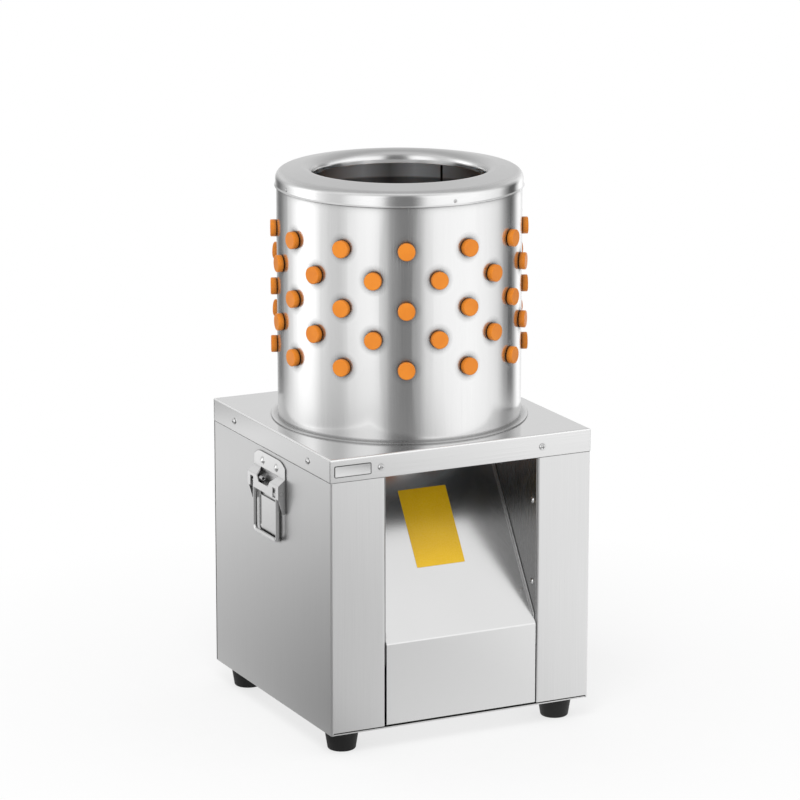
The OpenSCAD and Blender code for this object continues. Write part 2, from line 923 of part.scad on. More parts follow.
module drive_shaft()
    color("darkgray")
        difference() {
            union() {
                translate([0, 0, shaft_low])
                    cylinder(r = shaft_r, h = plate_low - shaft_low);
                translate([0, 0, plate_low])
                    cylinder(r = shaft_end_r, h = plate_t + shaft_end_h);
            }
            key_block(hub_key_z, key_len, slip_gap);
            key_block(pulley_key_z, pulley_key_len, slip_gap);
        }

// Domed nut that holds the plate down on its hub
module shaft_cap() {
    ball = (cap_dome_r * cap_dome_r + cap_dome_h * cap_dome_h) / (2 * cap_dome_h);
    color("lightgray")
        difference() {
            translate([0, 0, plate_top])
                intersection() {
                    cylinder(r = cap_dome_r, h = cap_dome_h);
                    translate([0, 0, cap_dome_h - ball])
                        sphere(ball);
                }
            translate([0, 0, plate_top - cut_past])
                cylinder(r = shaft_end_r + slip_gap, h = shaft_end_h + cut_past + slip_gap);
        }
}

module shaft_keys()
    color("dimgray") {
        key_block(hub_key_z, key_len, 0);
        key_block(pulley_key_z, pulley_key_len, 0);
    }

// Two-bolt flanged bearing housing, its face on Z = 0 and its body above
module bearing_outline() {
    lean = acos((bearing_body_r - bearing_lobe_r) / bearing_bolt_x);
    circle(bearing_body_r);
    for (x = [-1, 1]) {
        lobe = [x * bearing_bolt_x, 0];
        translate(lobe)
            circle(bearing_lobe_r);
        for (y = [-1, 1]) {
            outward = [x * cos(lean), y * sin(lean)];
            polygon([[0, 0], bearing_body_r * outward, lobe + bearing_lobe_r * outward, lobe]);
        }
    }
}

module bearing_housing()
    difference() {
        union() {
            linear_extrude(bearing_flange_t)
                bearing_outline();
            cylinder(r = bearing_body_r, h = bearing_h);
        }
        translate([0, 0, -cut_past])
            cylinder(r = bearing_r + slip_gap, h = bearing_h + 2 * cut_past);
        for (side = [-1, 1])
            translate([side * bearing_bolt_x, 0, 0])
                cylinder(r = bearing_bolt_r + fit_gap, h = 4 * bearing_flange_t, center = true);
    }

// Bearing insert with its long inner collar, for the shaft to run in
module bearing_insert()
    difference() {
        translate([0, 0, (bearing_h - bearing_ring_h) / 2])
            union() {
                cylinder(r = bearing_r, h = bearing_ring_h);
                cylinder(r = bearing_collar_r, h = bearing_ring_h + bearing_collar_h);
            }
        translate([0, 0, -cut_past])
            cylinder(r = shaft_r + run_gap, h = bearing_h + bearing_collar_h + 2 * cut_past);
    }

module under_cap()
    translate([0, 0, cap_under])
        mirror([0, 0, 1])
            children();

module on_drive_plate()
    translate([0, 0, drive_top])
        children();

module upper_bearing_housing()
    color("steelblue")
        under_cap() bearing_housing();

module upper_bearing()
    color("gray")
        under_cap() bearing_insert();

module lower_bearing_housing()
    color("steelblue")
        on_drive_plate() bearing_housing();

module lower_bearing()
    color("gray")
        on_drive_plate() bearing_insert();

// Bolts and nuts of both bearing housings
module bearing_bolts() {
    grip = bearing_flange_t + 1.4 * bearing_bolt_r + 1;
    color("lightgray")
        for (side = [-1, 1])
            translate([side * bearing_bolt_x, 0, 0]) {
                translate([0, 0, cap_z])
                    mirror([0, 0, 1]) {
                        hex_bolt(bearing_bolt_r, grip + cap_sheet, bolt_head_h);
                        translate([0, 0, cap_sheet + bearing_flange_t])
                            hex_nut(bearing_bolt_r);
                    }
                translate([0, 0, drive_low]) {
                    hex_bolt(bearing_bolt_r, grip + drive_sheet, bolt_head_h);
                    translate([0, 0, drive_sheet + bearing_flange_t])
                        hex_nut(bearing_bolt_r);
                }
            }
}

// Places of the motor's bolts, round the motor's axis
module at_motor()
    translate([-motor_x, motor_y, 0])
        children();

module at_motor_bolts()
    at_motor()
        for (k = [0 : 3])
            rotate([0, 0, 45 + 90 * k])
                translate([motor_bolt_ring, 0, 0])
                    rotate([0, 0, -45 - 90 * k])
                        rotate([0, 0, belt_turn])
                            children();

// Drive plate across the cabinet, with slots that let the motor slide to tighten the belt
module drive_plate() {
    wide = body_w - 2 * sheet;
    color("lightslategray")
        difference() {
            union() {
                translate([-wide / 2, drive_front, drive_low])
                    cube([wide, drive_back - drive_front, drive_sheet]);
                for (side = [-1, 1])
                    translate([side * (wide - drive_sheet) / 2, 0, drive_top - drive_flange_h / 2])
                        translate([0, (drive_front + drive_back) / 2, 0])
                            cube([drive_sheet, drive_back - drive_front, drive_flange_h], center = true);
            }
            translate([0, 0, drive_low - cut_past])
                cylinder(r = shaft_hole_r, h = drive_sheet + 2 * cut_past);
            for (side = [-1, 1])
                translate([side * bearing_bolt_x, 0, drive_low])
                    cylinder(r = bearing_bolt_r + fit_gap, h = 4 * drive_sheet, center = true);
            at_motor()
                translate([0, 0, drive_low - cut_past])
                    cylinder(r = motor_bore_r, h = drive_sheet + 2 * cut_past);
            at_motor_bolts()
                translate([0, 0, drive_low - cut_past])
                    linear_extrude(drive_sheet + 2 * cut_past)
                        round_rect(slot_len, 2 * bolt_r + 0.4, bolt_r);
            translate([capacitor_x, capacitor_y, drive_low])
                cylinder(r = bolt_r + fit_gap, h = 4 * drive_sheet, center = true);
        }
}

// Section of the belt, or of the groove for it when it is grown by a gap
module belt_section(pitch_r, gap, rise) {
    slope = (belt_top_w - belt_low_w) / 2 / (belt_above + belt_below);
    top = belt_above + rise;
    low = -belt_below - gap;
    top_half = belt_top_w / 2 + gap + slope * rise;
    low_half = belt_low_w / 2 + gap - slope * gap;
    polygon([[pitch_r + low, -low_half], [pitch_r + top, -top_half],
        [pitch_r + top, top_half], [pitch_r + low, low_half]]);
}

// The straight runs are a hair thinner than the wraps, and end inside them
module v_belt() {
    wrap = 360 - 2 * belt_open;
    color([0.13, 0.13, 0.13])
        translate([0, 0, belt_z])
            rotate([0, 0, belt_turn])
                union() {
                    rotate([0, 0, belt_open])
                        rotate_extrude(angle = wrap)
                            belt_section(driven_r, 0, 0);
                    translate([centre_gap, 0, 0])
                        rotate([0, 0, -belt_open])
                            rotate_extrude(angle = 2 * belt_open)
                                belt_section(driver_r, 0, 0);
                    for (side = [-1, 1])
                        rotate([0, 0, side * belt_open])
                            translate([0, -side * belt_run / 2, 0])
                                along_y(belt_run + 2 * belt_lap)
                                    belt_section(driven_r, -belt_join, -belt_join);
                }
}

// Grooved pulley about the Z axis, its groove at Z = 0
module pulley_body(pitch_r, bore_r) {
    crown = pitch_r + belt_above + 1;
    difference() {
        translate([0, 0, -pulley_w / 2])
            cylinder(r = crown, h = pulley_w);
        rotate_extrude()
            belt_section(pitch_r, groove_gap, 2);
        translate([0, 0, -pulley_w])
            cylinder(r = bore_r, h = 2 * pulley_w);
    }
}

module driven_pulley() {
    hub_r = shaft_r + 12;
    web_out = driven_r - belt_below - 10;
    web_t = 7;
    hole_r = (web_out - hub_r) / 2 - 4;
    recess = (pulley_w - web_t) / 2;
    color("dimgray")
        translate([0, 0, belt_z])
            difference() {
                pulley_body(driven_r, shaft_r + slip_gap);
                for (side = [-1, 1])
                    translate([0, 0, side * (web_t / 2 + recess)])
                        difference() {
                            cylinder(r = web_out, h = 2 * recess, center = true);
                            cylinder(r = hub_r, h = 4 * recess, center = true);
                        }
                for (k = [0 : web_holes - 1])
                    rotate([0, 0, 360 * k / web_holes])
                        translate([(web_out + hub_r) / 2, 0, 0])
                            cylinder(r = hole_r, h = 2 * pulley_w, center = true);
                translate([0, 0, -belt_z])
                    key_block(pulley_key_z, pulley_key_len, slip_gap);
            }
}

module motor_pulley()
    color("dimgray")
        at_motor()
            translate([0, 0, belt_z])
                pulley_body(driver_r, motor_shaft_d / 2 + slip_gap);

module motor_shaft()
    color("darkgray")
        at_motor()
            translate([0, 0, motor_shaft_low])
                cylinder(d = motor_shaft_d, h = motor_low - soft_gap - motor_shaft_low);

// Motor's body: a core with cooling fins round it
module motor_housing()
    color("slategray")
        at_motor()
            translate([0, 0, motor_low]) {
                cylinder(r = motor_core_r, h = motor_len);
                for (k = [0 : fin_count - 1])
                    rotate([0, 0, 360 * k / fin_count])
                        translate([motor_core_r - fin_t, -fin_t / 2, 0])
                            cube([motor_r - motor_core_r + fin_t - 1, fin_t, motor_len]);
            }

// Shield at the motor's drive end, standing on the drive plate
module motor_shield()
    color("slategray")
        difference() {
            at_motor()
                translate([0, 0, drive_top])
                    cylinder(r = motor_r, h = shield_h);
            at_motor()
                translate([0, 0, drive_top - cut_past])
                    cylinder(d = motor_shaft_d + 2 * run_gap, h = shield_h + 2 * cut_past);
            at_motor_bolts()
                translate([0, 0, drive_top - cut_past])
                    cylinder(r = bolt_r + slip_gap, h = shield_h - 3 + cut_past);
        }

// Fan cover on top of the motor, with a ring of air slots
module motor_fan_cover() {
    wall = 1.5;
    slots = 12;
    color("darkslategray")
        at_motor()
            translate([0, 0, motor_high])
                difference() {
                    cylinder(r = motor_r, h = fan_cover_h);
                    translate([0, 0, -cut_past])
                        cylinder(r = motor_r - wall, h = fan_cover_h - wall + cut_past);
                    for (k = [0 : slots - 1])
                        rotate([0, 0, 360 * k / slots])
                            translate([0.45 * motor_r, -2, fan_cover_h - 2 * wall])
                                cube([0.4 * motor_r, 4, 3 * wall]);
                }
}

module motor_bolts()
    color("lightgray")
        at_motor_bolts()
            translate([0, 0, drive_low])
                hex_bolt(bolt_r, drive_sheet + shield_h - 5, bolt_head_h);

// Run capacitor, held to the drive plate by the stud in its base
module capacitor()
    color("lightgray")
        translate([capacitor_x, capacitor_y, drive_top]) {
            cylinder(r = capacitor_r, h = capacitor_h);
            translate([0, 0, -drive_sheet - 8])
                cylinder(r = bolt_r, h = drive_sheet + 8);
            translate([0, 0, capacitor_h])
                cylinder(r = capacitor_r - 4, h = 5);
        }

// Push-button switch on the right panel
module at_switch()
    translate([half_w, switch_y, floor_z + switch_z])
        rotate([90, 0, 90])
            children();

module at_buttons(place)
    at_switch()
        translate([0, place * button_gap / 2, 0])
            children();

module switch_plate()
    color([0.2, 0.2, 0.2])
        difference() {
            at_switch()
                linear_extrude(switch_t)
                    round_rect(switch_w, switch_h, switch_corner_r);
            for (place = [-1, 1])
                at_buttons(place)
                    cylinder(r = button_r + soft_gap, h = 4 * switch_t, center = true);
        }

module switch_body()
    color([0.2, 0.2, 0.2])
        difference() {
            at_switch()
                translate([0, 0, -switch_box_depth])
                    linear_extrude(switch_box_depth)
                        round_rect(switch_box_w, switch_box_h, switch_corner_r / 2);
            for (place = [-1, 1])
                at_buttons(place)
                    translate([0, 0, -button_in - button_travel - soft_gap])
                        cylinder(r = button_r + soft_gap, h = switch_box_depth);
        }

// Push button with a rounded face
module push_button() {
    round_r = 1.5;
    top = switch_t + button_out;
    rotate_extrude()
        union() {
            translate([0, -button_in])
                square([button_r, button_in + top - round_r]);
            square([button_r - round_r, top]);
            translate([button_r - round_r, top - round_r])
                circle(round_r);
        }
}

module start_button()
    color("green")
        at_buttons(1) push_button();

module stop_button()
    color("red")
        at_buttons(-1) push_button();

// Rubber bush for the supply lead, in the back panel
module cable_grommet()
    color([0.12, 0.12, 0.12])
        translate([grommet_x, half_d + grommet_flange, grommet_z])
            rotate([90, 0, 0])
                difference() {
                    union() {
                        cylinder(r = grommet_r, h = grommet_flange);
                        cylinder(r = grommet_neck_r, h = 2 * grommet_flange + sheet);
                        translate([0, 0, grommet_flange + sheet])
                            cylinder(r = grommet_r, h = grommet_flange);
                    }
                    translate([0, 0, -cut_past])
                        cylinder(r = grommet_bore_r, h = 4 * grommet_flange + sheet);
                }

// Tapered rubber foot with a recess for its bolt
foot_recess_r = 8;
foot_recess_h = 14;
foot_round = 3;

module foot()
    difference() {
        rotate_extrude()
            polygon(concat(
                [[0, 0]],
                [for (k = [0 : bend_steps])
                    [foot_floor_d / 2 - foot_round + foot_round * sin(90 * k / bend_steps),
                        foot_round - foot_round * cos(90 * k / bend_steps)]],
                [[foot_top_d / 2, foot_h], [0, foot_h]]));
        translate([0, 0, -cut_past])
            cylinder(r = foot_recess_r, h = foot_recess_h + cut_past);
        cylinder(r = bolt_r + slip_gap, h = 3 * foot_h, center = true);
    }

module one_foot(x, y)
    color([0.13, 0.13, 0.13])
        translate([x * (half_w - foot_inset_x), y * (half_d - foot_inset_y), 0])
            foot();

module foot_front_left()
    one_foot(-1, -1);

module foot_front_right()
    one_foot(1, -1);

module foot_back_left()
    one_foot(-1, 1);

module foot_back_right()
    one_foot(1, 1);

// Bolts up through the feet, each with its nut on the pan
module foot_bolts() {
    length = foot_h - foot_recess_h + pan_sheet + 1.4 * bolt_r + 1;
    color("lightgray")
        at_feet() {
            translate([0, 0, foot_recess_h])
                hex_bolt(bolt_r, length, bolt_head_h);
            translate([0, 0, pan_top])
                hex_nut(bolt_r);
        }
}

// Handle on the right side: a bracket folded from one plate, with a strap that stands out,
// two ears for the bail's pivot, and slots that let the bail's legs swing up
module handle_bracket() {
    mid = handle_sheet / 2;
    path = [
        [mid, bracket_top],
        [mid, strap_bend_z],
        [strap_out - mid, strap_front_z],
        [strap_out - mid, strap_low]
    ];
    half = handle_w / 2;
    difference() {
        translate([half_w, 0, 0])
            union() {
                along_y(handle_w)
                    bent_sheet(path, handle_sheet, [bend_r, bend_r]);
                for (side = [-1, 1])
                    translate([0, side * (half - mid), 0])
                        along_y(handle_sheet) {
                            polygon([[0, strap_bend_z], [handle_sheet, strap_bend_z],
                                [strap_out - mid, strap_front_z], [strap_out - mid, strap_low],
                                [2 * ear_r, ear_low + ear_r], [0, ear_low + ear_r]]);
                            translate([ear_r, ear_low + ear_r])
                                circle(ear_r);
                        }
            }
        for (side = [-1, 1]) {
            translate([half_w, side * (half - crop_y), bracket_top])
                along_x(4 * strap_out)
                    difference() {
                        translate([side * crop_y, 0])
                            square(2 * [crop_y, crop_z], center = true);
                        translate([0, -crop_r])
                            circle(crop_r);
                    }
            translate([half_w + strap_out / 2, side * bail_w / 2 - leg_slot_w / 2, strap_low - cut_past])
                cube([strap_out, leg_slot_w, leg_slot_top - strap_low + cut_past]);
        }
        translate([half_w, 0, 0])
            along_x(4 * strap_out)
                polygon([
                    [-notch_top_w / 2, strap_bend_z + cut_past],
                    [notch_top_w / 2, strap_bend_z + cut_past],
                    [notch_low_w / 2, notch_low],
                    [-notch_low_w / 2, notch_low]
                ]);
        translate([half_w + pivot_out, 0, pivot_z])
            rotate([90, 0, 0])
                cylinder(r = bail_d / 2 + run_gap, h = 2 * handle_w, center = true);
        at_rivets()
            screw_hole(rivet_r);
    }
}

module handle_bracket_left()
    color("silver")
        mirror([1, 0, 0])
            handle_bracket();

module handle_bracket_right()
    color("silver")
        handle_bracket();

// Pressed plate behind the bail, which the bail rests against
module handle_stop() {
    tall = stop_top - stop_low;
    translate([half_w, 0, (stop_top + stop_low) / 2])
        rotate([90, 0, 90]) {
            linear_extrude(stop_sheet)
                round_rect(stop_w, tall, stop_corner_r);
            linear_extrude(stop_out)
                round_rect(stop_w - 2 * stop_border, tall - 2 * stop_border, stop_corner_r - stop_border / 2);
        }
}

module handle_stop_left()
    color("silver")
        mirror([1, 0, 0])
            handle_stop();

module handle_stop_right()
    color("silver")
        handle_stop();

// Bail: a wire ring whose upper bar runs on into the bracket's ears
module bail() {
    wire_r = bail_d / 2;
    rod = handle_w + 2 * soft_gap;
    leg = bail_drop - bail_bend_r;
    low_bar = bail_w - 2 * bail_bend_r;
    translate([half_w + pivot_out, 0, pivot_z])
        union() {
            rotate([90, 0, 0])
                cylinder(r = wire_r, h = rod, center = true);
            translate([0, 0, -bail_drop])
                rotate([90, 0, 0])
                    cylinder(r = wire_r, h = low_bar, center = true);
            for (side = [-1, 1])
                translate([0, side * bail_w / 2, 0]) {
                    translate([0, 0, -leg])
                        cylinder(r = wire_r, h = leg);
                    translate([0, -side * bail_bend_r, -leg])
                        rotate([90, 0, 90])
                            rotate([0, 0, side > 0 ? 270 : 180])
                                rotate_extrude(angle = 90)
                                    translate([bail_bend_r, 0])
                                        circle(wire_r);
                }
        }
}

module bail_left()
    color("silver")
        mirror([1, 0, 0])
            bail();

module bail_right()
    color("silver")
        bail();

// Domed rivets through the brackets and the side panels
module handle_rivets() {
    head_r = 2 * rivet_r;
    head_top = 2.2;
    tail_h = 1.5;
    grip = sheet + tab_in;
    ball = (head_r * head_r + head_top * head_top) / (2 * head_top);
    color("lightgray")
        at_rivets() {
            translate([0, 0, handle_sheet])
                intersection() {
                    cylinder(r = head_r, h = head_top);
                    translate([0, 0, head_top - ball])
                        sphere(ball);
                }
            translate([0, 0, -grip])
                cylinder(r = rivet_r, h = grip + handle_sheet);
            translate([0, 0, -grip - tail_h])
                cylinder(r = 1.5 * rivet_r, h = tail_h);
        }
}

left_panel();
right_panel();
back_panel();
bottom_pan();
top_cap();
cap_screws();
back_screws();
chute_slope();
chute_cheek_left();
chute_cheek_right();
chute_screws();
drum();
finger_row_1();
finger_row_2();
finger_row_3();
finger_row_4();
finger_row_5();
rim();
rim_screws();
rotor_plate();
plate_fingers_inner();
plate_fingers_outer();
hub();
hub_bolts();
drive_shaft();
shaft_cap();
shaft_keys();
upper_bearing_housing();
upper_bearing();
lower_bearing_housing();
lower_bearing();
bearing_bolts();
drive_plate();
driven_pulley();
v_belt();
motor_pulley();
motor_shaft();
motor_housing();
motor_shield();
motor_fan_cover();
motor_bolts();
capacitor();
switch_plate();
switch_body();
start_button();
stop_button();
cable_grommet();
foot_front_left();
foot_front_right();
foot_back_left();
foot_back_right();
foot_bolts();
handle_bracket_left();
handle_bracket_right();
handle_stop_left();
handle_stop_right();
bail_left();
bail_right();
handle_rivets();
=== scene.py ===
# %% [markdown]
# A small drum plucker in stainless steel
#
# This lesson dresses a finished mechanical model: a folded steel cabinet, a drum lined with
# rubber fingers, and a chute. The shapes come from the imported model, so most of the work here
# is finish: how brushed sheet, a polished drum, soft rubber and black plastic take the light.
# A few thin pieces that belong to looks, such as the blank plate and the weld seam, are modelled
# by hand on top.

# %% Load the frame
import json
import math

import bpy
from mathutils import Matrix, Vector


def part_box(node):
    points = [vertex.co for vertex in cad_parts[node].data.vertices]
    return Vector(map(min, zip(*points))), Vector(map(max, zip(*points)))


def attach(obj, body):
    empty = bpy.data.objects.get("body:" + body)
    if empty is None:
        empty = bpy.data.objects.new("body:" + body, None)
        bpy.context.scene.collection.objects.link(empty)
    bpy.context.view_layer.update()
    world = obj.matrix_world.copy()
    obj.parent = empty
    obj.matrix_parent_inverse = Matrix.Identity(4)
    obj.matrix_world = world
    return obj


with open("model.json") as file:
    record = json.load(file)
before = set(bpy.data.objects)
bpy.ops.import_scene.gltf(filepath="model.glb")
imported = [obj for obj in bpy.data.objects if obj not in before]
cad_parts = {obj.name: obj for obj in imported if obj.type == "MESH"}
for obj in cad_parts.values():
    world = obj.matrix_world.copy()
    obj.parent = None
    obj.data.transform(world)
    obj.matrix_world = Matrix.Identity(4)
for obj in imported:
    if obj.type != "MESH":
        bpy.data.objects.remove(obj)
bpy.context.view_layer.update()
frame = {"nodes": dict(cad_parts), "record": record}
MM = 0.001

# %% [markdown]
# The camera
#
# The photograph was taken from the front left and a little above, with a long lens, so the
# upright edges stay almost parallel. The place and the lens were found by fitting the cabinet's
# corners, the feet and the rim; here they are only typed in. A long lens far away gives the flat
# look of a catalogue picture, which a short lens close by can't.

# %% Camera
camera_place = Vector((-2127.6, -4339.7, 1582.0)) * MM
camera_down = 13.884
camera_turn = -26.127
lens_mm = 181.465
sensor_mm = 36.0
camera_reach = 50.0

camera_data = bpy.data.cameras.new("camera")
camera_data.sensor_width = sensor_mm
camera_data.lens = lens_mm
camera_data.clip_end = camera_reach
camera = bpy.data.objects.new("camera", camera_data)
camera.location = camera_place
camera.rotation_euler = (math.radians(90.0 - camera_down), 0.0, math.radians(camera_turn))
bpy.context.scene.collection.objects.link(camera)
bpy.context.scene.camera = camera
bpy.context.scene.view_settings.view_transform = "Standard"
print("camera at", [round(v, 3) for v in camera.location])

# %% [markdown]
# Adding a node
#
# Each finish is a short graph round one Principled shader. Two helpers do the wiring for all of
# them. One fills a socket: it links another node's output, or writes a constant on the socket
# itself. The other adds a node, sets its options and fills its sockets in one go.

# %% Node helpers
def feed(tree, socket, value):
    if isinstance(value, bpy.types.NodeSocket):
        tree.links.new(value, socket)
    elif isinstance(value, tuple) and len(socket.default_value) == 4:
        socket.default_value = (*value, 1.0)
    else:
        socket.default_value = value


def add_node(tree, kind, inputs=None, **options):
    node = tree.nodes.new("ShaderNode" + kind)
    for name, value in options.items():
        setattr(node, name, value)
    for key, value in (inputs or {}).items():
        feed(tree, node.inputs[key], value)
    return node


def start_material(name):
    material = bpy.data.materials.new(name)
    material.use_nodes = True
    tree = material.node_tree
    return material, tree, tree.nodes["Principled BSDF"]


print("helpers for nodes: feed, add_node, start_material")

# %% [markdown]
# Patterns and masks
#
# A finish varies by noise and by place. These helpers give a noise that can be stretched along a
# grain, the distance along a direction, and how far a face looks up. Patterns read Object
# coordinates, so they stay put on the piece when it moves.

# %% Pattern helpers
UP = (0.0, 0.0, 1.0)


def object_place(tree):
    return add_node(tree, "TexCoord").outputs["Object"]


def noise(tree, scale, detail=3.0):
    stretched = add_node(tree, "Mapping", {"Vector": object_place(tree), "Scale": scale}).outputs["Vector"]
    pattern = add_node(tree, "TexNoise", {"Vector": stretched, "Scale": 1.0, "Detail": detail})
    return pattern.outputs["Fac"]


def distance_along(tree, direction):
    along = add_node(tree, "VectorMath", {0: object_place(tree), 1: direction}, operation="DOT_PRODUCT")
    return along.outputs["Value"]


def upward(tree):
    normal = add_node(tree, "NewGeometry").outputs["Normal"]
    return add_node(tree, "SeparateXYZ", {"Vector": normal}).outputs["Z"]


print("helpers for patterns: object_place, noise, distance_along, upward")

# %% [markdown]
# Ranges and blends
#
# A pattern becomes a look by being brought into a range and blended with another. A noise keeps
# near its middle, so the usual range to start from is the middle part. A mask that rises or falls
# between two limits is the same thing from nothing to all, and a grey ramp takes any number of
# stops.

# %% Range helpers
noise_low, noise_high = 0.3, 0.7


def spread(tree, value, low, high, from_low=noise_low, from_high=noise_high):
    limits = {"From Min": from_low, "From Max": from_high, "To Min": low, "To Max": high}
    return add_node(tree, "MapRange", {"Value": value, **limits}).outputs["Result"]


def rising(tree, value, start, end):
    return spread(tree, value, 0.0, 1.0, start, end)


def falling(tree, value, start, end):
    return spread(tree, value, 1.0, 0.0, start, end)


def combine(tree, operation, first, second):
    return add_node(tree, "Math", {0: first, 1: second}, operation=operation).outputs["Value"]


def blend_colours(tree, share, first, second):
    mix = add_node(tree, "Mix", {"Factor": share, "A": first, "B": second}, data_type="RGBA")
    return mix.outputs["Result"]


def grey(light):
    return (light, light, light)


def grey_ramp(tree, value, stops):
    ramp = add_node(tree, "ValToRGB", {"Fac": value})
    elements = ramp.color_ramp.elements
    while len(elements) < len(stops):
        elements.new(0.5)
    for element, (position, light) in zip(elements, stops):
        element.position = position
        element.color = (*grey(light), 1.0)
    return ramp.outputs["Color"]


print("helpers for ranges: spread, rising, falling, combine, blend_colours, grey, grey_ramp")

# %% [markdown]
# Creases and edges
#
# No sheet has a perfectly sharp edge, and a crease gets less light than the flat. The Bevel node
# rounds the normal at an edge, so that the edge catches the light, and a bump rides on it. Ambient
# occlusion tells how open a place is: 0 deep in a crease, 1 out on the flat; the finishes use it to
# paint shade into their creases.

# %% Crease and edge helpers
crease_samples = 6
edge_samples = 4


def openness(tree, corner, shut, clear):
    crease = add_node(tree, "AmbientOcclusion", {"Distance": corner}, samples=crease_samples)
    return rising(tree, crease.outputs["AO"], shut, clear)


def bumped(tree, height, strength, depth, edge):
    rounded = add_node(tree, "Bevel", {"Radius": edge}, samples=edge_samples).outputs["Normal"]
    bump = {"Strength": strength, "Distance": depth, "Height": height, "Normal": rounded}
    return add_node(tree, "Bump", bump).outputs["Normal"]


print("helpers for creases: openness, bumped")

# %% [markdown]
# Stainless sheet
#
# Brushed sheet is a mirror with very fine parallel scratches. The scratches are too fine to see
# one by one, so they are a noise that is stretched a hundredfold along the grain, and it moves
# three things a little: the colour, the roughness and the normal. A second, broad noise adds the
# faint clouds that wiping leaves. Ambient occlusion darkens the colour in the last few millimetres
# beside a screw, a seam or a rubber head, as painted shade where little light reaches, and makes
# the sheet rougher there. One mask can lift that painted shade from a stretch, and a second look
# can take over part of the sheet.

# %% Steel finish
cloud_scale = (9.0, 9.0, 9.0)
cloud_detail = 2.0
scratch_detail = 4.0
scratch_tint = 0.95
scratch_strength = 0.05
scratch_depth = 0.05 * MM
crease_roughness = 0.25
second_roughness = 0.2


def darkened(tint, share):
    return tuple(share * channel for channel in tint)


def sheet_steel(name, tint, roughness, grain, swing=0.05, edge=0.6 * MM, corner=6.0 * MM, shade=0.2,
                shut=0.40, clear=0.88, shade_lifted=None, second_look=None):
    material, tree, shader = start_material(name)
    lines = noise(tree, grain, scratch_detail)
    clouds = noise(tree, cloud_scale, cloud_detail)
    grained = blend_colours(tree, spread(tree, lines, 0.0, 1.0), darkened(tint, scratch_tint), tint)
    open_share = openness(tree, corner, shut, clear)
    if shade_lifted:
        open_share = combine(tree, "MAXIMUM", open_share, shade_lifted(tree))
    # Painted shade: the colour darkens towards shade times tint where ambient occlusion finds a crease.
    colour = blend_colours(tree, open_share, darkened(tint, shade), grained)
    rough = combine(tree, "ADD", spread(tree, lines, -swing / 2, swing / 2),
                    spread(tree, clouds, roughness - swing / 2, roughness + swing / 2))
    rough = combine(tree, "ADD", rough, spread(tree, open_share, crease_roughness, 0.0, 0.0, 1.0))
    if second_look:
        mask, second_tint = second_look(tree)
        colour = blend_colours(tree, mask, colour, second_tint)
        rough = combine(tree, "ADD", rough, combine(tree, "MULTIPLY", mask, second_roughness))
    feed(tree, shader.inputs["Base Color"], colour)
    feed(tree, shader.inputs["Roughness"], rough)
    feed(tree, shader.inputs["Normal"], bumped(tree, lines, scratch_strength, scratch_depth, edge))
    feed(tree, shader.inputs["Metallic"], 1.0)
    return material


print("steel finish with scratches", scratch_depth / MM, "mm deep")

# %% [markdown]
# The cap's folds and underside
#
# The cap is a tray folded from one sheet. Its folds get a brighter tint, a painted highlight, and
# its underside an almost black one, a painted shade, which is also what the chute's upper end
# mirrors. Both can be told by how far a face looks up, so no face has to be picked.

# %% Second look of the cap
underside_tilt = (-0.8, -0.3)
fold_tilt_low = (0.15, 0.35)
fold_tilt_high = (0.85, 0.97)
level_tilt = (-0.2, 0.1)
underside_painted_shade = (0.06, 0.065, 0.07)
fold_painted_highlight = grey(1.0)


def fold_highlight_and_underside_shade(tree):
    up = upward(tree)
    fold = combine(tree, "MULTIPLY", rising(tree, up, *fold_tilt_low), falling(tree, up, *fold_tilt_high))
    mask = combine(tree, "MAXIMUM", falling(tree, up, *underside_tilt), fold)
    # Painted highlight on the folds, painted shade on the underside.
    return mask, blend_colours(tree, rising(tree, up, *level_tilt), underside_painted_shade, fold_painted_highlight)


print("folds tilt from", fold_tilt_low[0], "to", fold_tilt_high[1])

# %% [markdown]
# The drum's foot and inside
#
# The drum is polished outside and duller inside. The inside is told by its distance from the
# axis; its cool tint offsets the orange light that the fingers bounce onto it. Near the mouth its
# back wall gets a few soft upright streaks, which are painted reflections, with a band of painted
# shadow under them; they are a ramp across the drum, because a noise would not put them where
# they are. Just above the foot flange the painted shade from the crease is lifted, so the flange
# itself keeps only a lighter painted shade.

# %% Second look of the drum
drum_low, drum_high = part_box("drum")
drum_outside = 150.0 * MM
drum_wall = 1.5 * MM
within_wall = (drum_outside - 0.6 * drum_wall, drum_outside - 0.4 * drum_wall)
shade_lift_from = (drum_low.z + 2.5 * MM, drum_low.z + 5.0 * MM)
shade_lift_to = (drum_low.z + 14.0 * MM, drum_low.z + 26.0 * MM)
flange_share = 0.6
shadow_band_top = (drum_high.z - 28.5 * MM, drum_high.z - 26.0 * MM)
shadow_band_bottom = (drum_high.z - 72.0 * MM, drum_high.z - 42.0 * MM)
shadow_band_share = 0.3
across_drum = (0.898, -0.440, 0.0)
to_back_wall = (0.440, 0.898, 0.0)
back_wall_from = (-30.0 * MM, 10.0 * MM)
reflection_half = 120.0 * MM
reflection_stops = ((0.08, 0.26), (0.31, 1.00), (0.45, 0.38), (0.58, 1.00), (0.70, 0.66), (0.88, 0.26))
reflection_and_shadow_dark = grey(0.0)
inside_and_reflection_tint = (0.80, 0.93, 1.0)


def from_axis(tree):
    flat = add_node(tree, "VectorMath", {0: object_place(tree), 1: (1.0, 1.0, 0.0)}, operation="MULTIPLY")
    return add_node(tree, "VectorMath", {0: flat.outputs["Vector"]}, operation="LENGTH").outputs["Value"]


def above_flange(tree):
    up = distance_along(tree, UP)
    # Lifts the painted crease shade just above the flange.
    return combine(tree, "MULTIPLY", spread(tree, up, flange_share, 1.0, *shade_lift_from),
                   falling(tree, up, *shade_lift_to))


